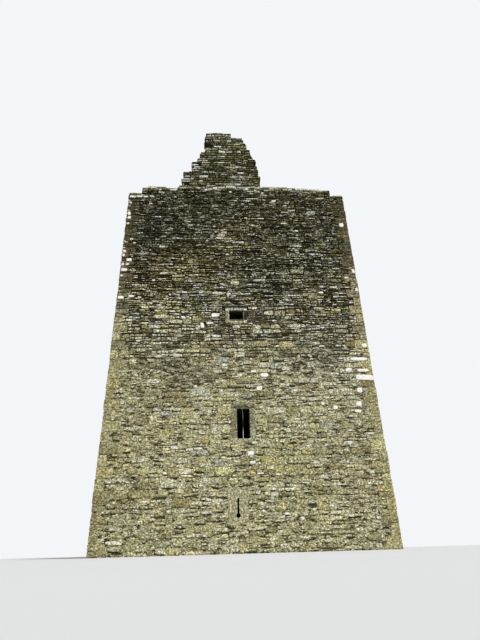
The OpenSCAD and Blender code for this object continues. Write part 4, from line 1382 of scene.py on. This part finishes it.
headSet = {
    "bed": (0.34, 0.62), "patch": (0.5, 1.2), "layer": (0.28, 0.6), "aspect": (0.9, 1.7), "least": 0.3,
    "most": 0.9, "joint": (0.014, 0.03), "jag": 0.02, "butt": 1.0, "rank": 0, "proud": (0.006, 0.026),
    "smallest": 0.08, "gap": 0.02, "toneHeight": 9.0, "whiter": 0.12, "seed": 700,
}
capSet = {
    "high": (0.05, 0.13), "long": (0.22, 0.62), "deep": (0.22, 0.46), "upper": 0.75, "butt": 0.03,
    "sink": 0.012, "outer": (-0.03, 0.03), "inner": (-0.02, 0.03), "outerLayers": (0, 1, 1, 1, 2),
    "innerLayers": (0, 0, 1, 1), "bevel": 0.014, "warp": 0.006, "tone": 1.5, "whiter": 0.22, "seed": 808,
    "whiteRun": 1.15, "whiteFrom": 3.1, "whiteGain": 2.6,  # white slabs at the corners and right of the stump
}


def makeHead():
    parts = []
    corner, wall = headSteps["corner"], headSteps["wall"]
    runW, runD = halfW - headSteps["shoulder"], halfD - headSteps["shoulder"]
    shoulderZ, cornerZ = headSteps["shoulderTop"] + headSteps["slab"], cornerTop + headSteps["slab"]
    strips = [
        (-runW, runW, -halfD, -loftD, headZ), (-runW, runW, loftD, halfD, headZ),
        (-halfW, -loftW, -runD, runD, headZ), (loftW, halfW, -runD, runD, headZ),
    ]
    atCorner = [
        ((halfW - corner, runW), (halfD, loftD), shoulderZ),
        ((halfW, loftW), (halfD - wall, runD), shoulderZ),
        ((halfW, halfW - corner), (halfD - corner, halfD - wall), shoulderZ),
        ((halfW, halfW - corner), (halfD, halfD - corner), cornerZ),
    ]
    for sx in (-1, 1):
        for sy in (-1, 1):
            strips += [(*sorted(sx * v for v in x), *sorted(sy * v for v in y), z) for x, y, z in atCorner]
    gap, spaces = headSet["gap"], []
    for node in ("front_gable", "rear_gable"):
        low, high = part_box(node)
        spaces.append((low.x - gap, high.x + gap, low.y - gap, high.y + gap))
    for seed, (*strip, z) in enumerate(strips, headSet["seed"]):
        laid = layStones(*strip, lambda z, rng: headSet, seed, spaces, headSet["smallest"])
        quads, looks, (x, y) = laid
        tones = stoneTones(x, headSet["toneHeight"] + y, 0, seed + 10, 1.0, headSet["whiter"])
        parts += copyStones(finishStones(quads, looks, seed + 20, tones, proudLow=headSet["proud"]), "up", z)
    makePiece("wallHeadFlags", parts, rubbleMaterial)


def headHeight(along, span):
    # top of the slabs at a distance from the middle of a side
    for step in ("corner", "shoulder"):
        if abs(along) > span - headSteps[step]:
            return headSteps[step + "Top"] + headSteps["slab"]
    return headZ


def makeCaps():
    # loose courses that are left along the outer and inner edges of the head
    rng = random.Random(capSet["seed"])
    boxes = []
    for facing in ("front", "rear", "right", "left"):
        span, plane = faceSizes[facing]
        for edge in ("outer", "inner"):
            reach = span if edge == "outer" else span - headSteps["edge"]
            u = -reach
            while u < reach - 0.1:
                end = min(u + rng.uniform(*capSet["long"]), reach)
                z = headHeight((u + end) / 2, span)
                deep = rng.uniform(*capSet["deep"])
                layers = rng.choice(capSet[edge + "Layers"])
                if abs(headHeight(u, span) - headHeight(end, span)) > 0.01:
                    layers = min(layers, 1)
                    z = min(headHeight(u, span), headHeight(end, span))
                z -= capSet["sink"]
                for _ in range(layers):
                    thick = rng.uniform(*capSet["high"]) * (capSet["upper"] if layers > 1 else 1)
                    if edge == "outer":
                        out = plane + rng.uniform(*capSet["outer"]), plane - deep
                    else:
                        inside = plane - headSteps["wall"]
                        out = inside + deep, inside + rng.uniform(*capSet["inner"])
                    a, b = u + rng.uniform(0.0, capSet["butt"]), end - rng.uniform(0.0, capSet["butt"])
                    both = placed(facing, 0.0, np.array([a, b]), np.array(out), np.array([z, z + thick]))
                    boxes.append([*both.min(0), *both.max(0)])
                    z += thick - capSet["sink"] / 2
                u = end
    boxes = np.array(boxes)
    for node in ("front_gable", "rear_gable"):
        low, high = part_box(node)
        overX = (boxes[:, 3] > low.x) & (boxes[:, 0] < high.x)
        boxes = boxes[~(overX & (boxes[:, 4] > low.y) & (boxes[:, 1] < high.y))]
    x, y, z = middlesOf(boxes).T
    tones = stoneTones(x + y, z, 1, capSet["seed"] + 1, capSet["tone"], capSet["whiter"])
    atCorner = (np.abs(x) > halfW - capSet["whiteRun"]) | ((x > capSet["whiteFrom"]) & (y < -loftD))
    tones[atCorner, 3] = 1.0
    tones[atCorner, :3] *= capSet["whiteGain"]
    parts = copyBlocks(slabBlocks, boxes, capSet["bevel"], tones, rng, capSet["warp"])
    makePiece("wallHeadCaps", parts, rubbleMaterial)


makeHead()
makeCaps()
print("wall head laid")


# inside faces of the upper room

roomSet = {
    "bed": (0.30, 0.48), "patch": (0.5, 1.6), "layer": (0.10, 0.22), "aspect": (1.5, 3.4), "least": 0.18,
    "most": 0.75, "joint": (0.014, 0.028), "jag": 0.012, "butt": 0.7, "rank": 0, "smallest": 0.04,
    "tone": 1.5, "seed": 901, "proud": (0.006, 0.024), "proudHigh": (0.008, 0.035),
    "embrasure": 0.5, "gap": 0.01, "heights": (8.02, 8.96),
    "windows": {"rear": [0.18], "front": [0.18], "left": [-2.6, 2.6], "right": [-2.6, 2.6]},
}


def makeRoomFaces():
    parts = []
    half, gap = roomSet["embrasure"], roomSet["gap"]
    for seed, (facing, windows) in enumerate(roomSet["windows"].items(), roomSet["seed"]):
        span, plane = (loftW, -loftD) if facing in endFaces else (loftD, -loftW)
        spaces = [(w - half - gap, w + half + gap, *roomSet["heights"]) for w in windows]
        area = -span, span, floorZ, wallTop
        quads, looks, (u, z) = layStones(*area, lambda z, rng: roomSet, seed, spaces, roomSet["smallest"])
        tones = stoneTones(u, z, 1, seed, roomSet["tone"])
        stones = finishStones(quads, looks, seed + 1, tones, roomSet["proud"], roomSet["proudHigh"])
        stones["kind"] = np.where(stones["shape"] % 3 == 0, "flag", "chip")
        parts += copyStones(stones, facing, plane)
    makePiece("upperRoomRubble", parts, rubbleMaterial)


makeRoomFaces()
print("upper room faced")


# dressed stones

dressedSet = {
    "bevel": 0.010, "bevelFrom": 35, "joint": 0.007, "rough": 0.003, "proud": 0.008, "loopProud": 0.006,
    "jambCuts": {"hall": (0.27, 0.52, 0.80), "upper": (), "door": (0.26, 0.50, 0.76)}, "jambShift": 0.07,
    # a window's reveal is painted in shade from a little behind its chamfer, and a drip slab's lower half is
    # painted darker as shade
    "voussoirs": 11, "chamfer": {"hall": 0.03, "upper": 0.05}, "revealShadeDepth": 0.03, "drip": 0.08,
    "levels": (0.72, 1.15), "lichen": 0.12, "doorLevels": (0.75, 1.15), "doorLichen": 0.15,
}
# painted light and shade of a window's stones, as brightness at the face, at the chamfer's end, behind it and
# at the face's inner edge: painted highlights on the chamfers, painted shade in the reveal and at the soffit
revealShades = {
    "hallLintel": (1.0, 2.0, 0.04, 0.15), "hallSill": (1.0, 0.9, 0.05, 1.3),
    "hallLeft": (1.0, 1.0, 0.04, 1.0), "hallRight": (1.0, 0.7, 0.04, 1.0),
    "upperLintel": (1.0, 0.13, 0.04, 1.0), "upperSill": (0.9, 1.0, 0.05, 2.2),
    "upperLeft": (1.0, 2.4, 0.04, 1.0), "upperRight": (0.8, 9.0, 0.04, 1.0),
}
# the upper window's right jamb is painted dark, as painted shade
dressedTones = {
    "upperLintel": (0.60, 0.58, 0.41), "upperSill": (0.21, 0.20, 0.115),
    "upperLeft": (0.29, 0.28, 0.155), "upperRight": (0.050, 0.044, 0.034),
    "hallLintel": (0.25, 0.245, 0.14), "hallSill": (0.30, 0.29, 0.18),
    "hallLeft": (0.235, 0.205, 0.125), "hallRight": (0.235, 0.235, 0.135),
    "drip": (0.14, 0.135, 0.095), "loop": (0.29, 0.27, 0.155), "door": (0.26, 0.245, 0.155),
}


def openMesh(name, mesh):
    # a new object that is in edit mode, all selected
    clearSelection()
    piece = bpy.data.objects.new(name, mesh)
    scene.collection.objects.link(piece)
    piece.select_set(True)
    bpy.context.view_layer.objects.active = piece
    bpy.ops.object.mode_set(mode="EDIT")
    bpy.ops.mesh.select_all(action="SELECT")
    return piece


def copyOfNode(node):
    # the node's mesh, merged and with its flat faces whole
    piece = openMesh(node + "Copy", nodes[node].data.copy())
    bpy.ops.mesh.remove_doubles(threshold=0.00005)
    bpy.ops.mesh.dissolve_limited(angle_limit=math.radians(0.5))
    return piece


def cutOff(point, normal, side):
    # keeps what lies on that side of a plane, half a joint away from it
    bpy.ops.mesh.select_all(action="SELECT")
    place = np.array(point, float) + np.array(normal, float) * side * dressedSet["joint"] / 2
    bpy.ops.mesh.bisect(
        plane_co=place, plane_no=normal, use_fill=True, clear_inner=side > 0, clear_outer=side < 0,
    )


def finishBlock(block, seed):
    roughen(dressedSet["rough"], seed)
    bpy.ops.object.mode_set(mode="OBJECT")
    bevel = block.modifiers.new("arris", "BEVEL")
    bevel.width, bevel.segments = dressedSet["bevel"], 2
    bevel.limit_method, bevel.angle_limit = "ANGLE", math.radians(dressedSet["bevelFrom"])
    bpy.ops.object.modifier_apply(modifier=bevel.name)
    return takeShape(block)


def cutBlocks(node, seed, planesOf=lambda part: [], ring=None):
    # cuts a node's stones by planes, each (point, normal), with a joint at every cut; ring adds a line of
    # points at that y
    blocks = []
    copyOfNode(node)
    bpy.ops.mesh.separate(type="LOOSE")
    bpy.ops.object.mode_set(mode="OBJECT")
    for part in list(bpy.context.selected_objects):
        planes = planesOf(part)
        for i in range(len(planes) + 1):
            block = openMesh("block", part.data.copy())
            for side, k in ((1, i - 1), (-1, i)):
                if 0 <= k < len(planes):
                    cutOff(*planes[k], side)
            if ring is not None:
                bpy.ops.mesh.select_all(action="SELECT")
                bpy.ops.mesh.bisect(plane_co=(0, ring, 0), plane_no=(0, 1, 0))
            blocks.append(finishBlock(block, seed + i))
        mesh = part.data
        bpy.data.objects.remove(part)
        bpy.data.meshes.remove(mesh)
    return blocks


def cutJambs(node, seed, shares, middle, ring=None):
    # the beds of the right jamb lie a little higher
    def planesOf(part):
        points = [v.co for v in part.data.vertices]
        xs, zs = [p.x for p in points], [p.z for p in points]
        shift = dressedSet["jambShift"] if (min(xs) + max(xs)) / 2 > middle else 0.0
        low, high = min(zs), max(zs)
        return [((0, 0, low + (high - low) * (share + shift)), (0, 0, 1)) for share in shares]
    return cutBlocks(node, seed, planesOf, ring)


def cutFan(node, centre, count, seed):
    # cuts an arch into voussoirs by planes through its centre
    blocks = []
    for i in range(count):
        block = copyOfNode(node)
        for side, k in ((1, i), (-1, i + 1)):
            if 0 < k < count:
                angle = math.pi * k / count
                cutOff(centre, (-math.sin(angle), 0, math.cos(angle)), side)
        blocks.append(finishBlock(block, seed + i))
    return blocks


def localBlocks(blocks, middle):
    # blocks of the front wall as u from a middle, out from the face, and z
    return [(np.stack([p[:, 0] - middle, -p[:, 1] - halfD, p[:, 2]], -1), faces) for p, faces in blocks]


def middleOn(facing, stones):
    # where the middle of an end's stones lies along its face
    u0, u1, *_ = nodeSpace(f"{facing}_{stones}", facing)
    return (u0 + u1) / 2


def modelWindow(kind):
    node = f"front_{kind}_window_"
    middle = middleOn("front", f"{kind}_window_jambs")
    # the painted shade of the reveal starts at this ring of points
    ring = -halfD + dressedSet["chamfer"][kind] + dressedSet["revealShadeDepth"]
    shapes = {role: cutBlocks(node + role.lower(), 3, ring=ring) for role in ("Lintel", "Sill")}
    shapes["Jamb"] = cutJambs(node + "jambs", 5, dressedSet["jambCuts"][kind], middle, ring)
    return {role: localBlocks(blocks, middle) for role, blocks in shapes.items()}


def modelStone(name, seed):
    # a stone of the front that no joint divides
    return localBlocks(cutBlocks("front_" + name, seed), middleOn("front", name))


windowShapes = {kind: modelWindow(kind) for kind in ("hall", "upper")}
dripShape = modelStone("upper_window_drip", 7)
loopShape = modelStone("gun_loop_slab", 8) + modelStone("gun_loop_lintel", 9)


def revealShade(kind, role, points):
    face, edge, deep, lip = revealShades[kind + role]
    out, z = points[:, 1], points[:, 2]
    chamfer = dressedSet["chamfer"][kind]
    nearLight = z < z.min() + chamfer + 0.02 if role == "Lintel" else z > z.max() - 0.05
    atFace = np.where(nearLight & (role in ("Lintel", "Sill")), lip, face)
    return np.where(out > -0.014, atFace, np.where(out > -chamfer - 0.014, edge, deep))


def setBlocks(blocks, facing, middle, kind, rng, role="", proud=0.0):
    # blocks at their place in a wall; a window's get painted light and shade by where they lie around its
    # light
    parts = []
    for points, faces in blocks:
        part = role if role != "Jamb" else "Left" if points[:, 0].mean() < 0 else "Right"
        u, out, z = points[:, 0] + middle, points[:, 1] + proud, points[:, 2]
        tone = np.array(dressedTones[kind + part]) * rng.uniform(*dressedSet["levels"])
        tone = np.tile([*tone, dressedSet["lichen"]], (len(points), 1))
        if role:
            tone[:, :3] *= revealShade(kind, part, points)[:, None]
        parts.append((placed(facing, faceSizes[facing][1], u, out, z), faces, tone))
    return parts


def setWindow(kind, facing, middle, rng):
    parts = []
    for role, blocks in windowShapes[kind].items():
        parts += setBlocks(blocks, facing, middle, kind, rng, role, dressedSet["proud"])
    return parts


def setDrip(facing, middle, rng):
    # painted shade: the lower half of the slab is darkened, standing in for the shadow under it
    parts = setBlocks(dripShape, facing, middle, "drip", rng)
    for points, _, tone in parts:
        z = points[:, 2]
        tone[z < (z.min() + z.max()) / 2, :3] *= dressedSet["drip"]
    return parts


def makeDressed():
    rng = np.random.default_rng(77)

    def add(name, parts, *replaced, slot="dressed_stone"):
        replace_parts(makePiece(name, parts, dressedMaterial), *replaced)

    for facing in endFaces:
        for kind in ("hall", "upper"):
            window = f"{kind}_window_"
            parts = setWindow(kind, facing, middleOn(facing, window + "jambs"), rng)
            stones = [f"{facing}_{window}{role}" for role in ("lintel", "sill", "jambs")]
            add(f"{facing}{kind.title()}WindowStones", parts, *stones)
        loop = middleOn(facing, "gun_loop_slab")
        parts = setBlocks(loopShape, facing, loop, "loop", rng, proud=dressedSet["loopProud"])
        add(f"{facing}GunLoopStones", parts, f"{facing}_gun_loop_slab", f"{facing}_gun_loop_lintel")
    parts = []
    for spot in sideSpots:
        parts += setWindow("hall", *spot, rng) + setWindow("upper", *spot, rng)
    add("sideWindowStones", parts, "side_window_lintels", "side_window_sills", "side_window_jambs")
    drips = [setDrip(facing, middleOn(facing, "upper_window_jambs"), rng) for facing in endFaces]
    drips += [setDrip(*spot, rng) for spot in sideSpots]
    add("frontDripSlab", drips[0], "front_upper_window_drip", slot="slab_stone")
    others = [part for parts in drips[1:] for part in parts]
    add("otherDripSlabs", others, "other_window_drips", slot="slab_stone")

    low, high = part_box("door_jambs")
    middle = (low.x + high.x) / 2
    blocks = cutJambs("door_jambs", 15, dressedSet["jambCuts"]["door"], middle)
    blocks += cutFan("door_arch", (middle, 0, high.z), dressedSet["voussoirs"], 16)
    parts = []
    for points, faces in blocks:
        tone = np.array(dressedTones["door"]) * rng.uniform(*dressedSet["doorLevels"])
        tone = np.tile([*tone, dressedSet["doorLichen"]], (len(points), 1))
        parts.append((points + np.array([0, dressedSet["proud"], 0]), faces, tone))
    add("doorwayStones", parts, "door_jambs", "door_arch")


makeDressed()
print("dressed stones set")


# window bars

barSet = {
    "width": 0.019, "back": 0.13, "sides": 10, "cuts": 9, "bend": 0.003, "bendBack": 0.006, "rough": 0.0015,
    "bedded": 0.03, "shift": 0.01,  # how far the front's bar stands left of the middle
}


def modelBar():
    low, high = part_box("front_hall_window_jambs")
    length = high.z - low.z + 2 * barSet["bedded"]
    clearSelection()
    bpy.ops.mesh.primitive_cylinder_add(
        vertices=barSet["sides"], radius=barSet["width"] / 2, depth=length,
        location=(0, 0, (low.z + high.z) / 2),
    )
    bar = bpy.context.object
    bpy.ops.object.transform_apply(location=True, rotation=True, scale=True)
    bpy.ops.object.mode_set(mode="EDIT")
    for k in range(1, barSet["cuts"] + 1):
        bpy.ops.mesh.select_all(action="SELECT")
        height = low.z - barSet["bedded"] + length * k / (barSet["cuts"] + 1)
        bpy.ops.mesh.bisect(plane_co=(0, 0, height), plane_no=(0, 0, 1))
    roughen(barSet["rough"], 4)
    points, faces = takeShape(bar)
    share = (points[:, 2] - low.z) / (high.z - low.z)
    points[:, 0] += barSet["bend"] * np.sin(share * 3.1)
    points[:, 1] += barSet["bendBack"] * np.sin(share * 5)
    return points, faces


def makeBars():
    points, faces = modelBar()
    faces = [face[::-1] for face in faces]
    spots = [(facing, middleOn(facing, "hall_window_jambs")) for facing in endFaces]
    spots[0] = "front", spots[0][1] - barSet["shift"]
    parts = []
    for facing, middle in spots + sideSpots:
        u, out, z = points[:, 0] + middle, points[:, 1] - barSet["back"], points[:, 2]
        parts.append((placed(facing, faceSizes[facing][1], u, out, z), faces, np.ones((len(points), 4))))
    makePiece("hallWindowBars", parts, ironMaterial)


makeBars()
print("bars set")


# boards of the upper floor

boardSet = {
    "wide": (0.17, 0.27), "lastWide": 0.12, "long": (2.4, 4.6), "lastLong": 1.0, "gap": 0.005, "butt": 0.003,
    "worn": 0.004, "bevel": 0.006, "seed": 1212,
}


def makeBoards():
    rng = random.Random(boardSet["seed"])
    low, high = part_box("upper_floor_boards")
    gap, butt = boardSet["gap"] / 2, boardSet["butt"]
    boxes = []
    x = low.x
    while x < high.x - 0.02:
        wide = rng.uniform(*boardSet["wide"])
        end = high.x if high.x - x - wide < boardSet["lastWide"] else x + wide
        y = low.y
        while y < high.y - 0.02:
            stop = y + rng.uniform(*boardSet["long"])
            stop = high.y if high.y - stop < boardSet["lastLong"] else stop
            drop = rng.uniform(0, boardSet["worn"])
            boxes.append([x + gap, y + butt, low.z, end - gap, stop - butt, high.z - drop])
            y = stop
        x = end
    parts = copyBlocks(quoinBlocks, boxes, boardSet["bevel"], np.ones((len(boxes), 4)), rng)
    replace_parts(makePiece("upperFloorPlanks", parts, plateMaterial), "upper_floor_boards")


makeBoards()
print("boards laid")


# finishes of the CAD nodes that stay

def dress(names, material):
    for name in names:
        mesh = nodes[name].data
        mesh.materials.clear()
        mesh.materials.append(material)


for end in endFaces:
    dress([f"{end}_left_quoins", f"{end}_right_quoins", f"{end}_gable"], mortarMaterial)
for side in faceSizes:
    dress([side + "_wall"], mortarMaterial)
    dress([side + "_wall_walk"], slabMaterial)
dress(["vault"], mortarMaterial)
dress(["corner_slabs"], slabMaterial)
dress(["door_threshold", "basement_paving", "hall_paving"], pavingMaterial)
dress(["upper_floor_joists"], joistMaterial)
dress(["upper_floor_plates"], plateMaterial)


# lights, sky and floor

lightSet = {
    "sunTurn": (43, 6, 24), "sunStrength": 2.75, "sunSize": 6, "sky": 0.38, "backdrop": (0.90, 0.92, 0.94),
}
floorSet = {"size": 600, "colours": ((0.74, 0.745, 0.75), (0.78, 0.785, 0.79)), "cloud": 0.2}


def makeLight():
    data = bpy.data.lights.new("softSun", "SUN")
    data.energy, data.angle = lightSet["sunStrength"], math.radians(lightSet["sunSize"])
    sun = bpy.data.objects.new("softSun", data)
    sun.rotation_euler = [math.radians(a) for a in lightSet["sunTurn"]]
    scene.collection.objects.link(sun)
    world = bpy.data.worlds.new("studio")
    scene.world = world
    world.use_nodes = True
    tree = world.node_tree
    tree.nodes.clear()

    def add(kind, *inputs, **settings):
        # inputs: values or other nodes' outputs, in the order of the node's sockets
        node = tree.nodes.new(kind)
        for key, value in settings.items():
            setattr(node, key, value)
        for socket, value in zip(node.inputs, inputs):
            if isinstance(value, bpy.types.NodeSocket):
                tree.links.new(value, socket)
            else:
                socket.default_value = value
        return node.outputs[0] if node.outputs else None

    path = tree.nodes.new("ShaderNodeLightPath").outputs
    seen = add("ShaderNodeMath", path["Is Camera Ray"], path["Is Glossy Ray"], operation="MAXIMUM")
    seen = add("ShaderNodeMath", seen, path["Is Transmission Ray"], operation="MAXIMUM")
    glow = add("ShaderNodeBackground", (1, 1, 1, 1), lightSet["sky"])
    backdrop = add("ShaderNodeBackground", (*lightSet["backdrop"], 1), 1)
    add("ShaderNodeOutputWorld", add("ShaderNodeMixShader", seen, glow, backdrop))


def makeFloor():
    clearSelection()
    bpy.ops.mesh.primitive_plane_add(size=floorSet["size"])
    floor = bpy.context.object
    floor.name = "studioFloor"
    s = Shader("paleFloor")
    floor.data.materials.append(s.finish(s.mix(s.noise(floorSet["cloud"], 2), *floorSet["colours"])))


makeLight()
makeFloor()
print("triangles added:", sum(trianglesMade))
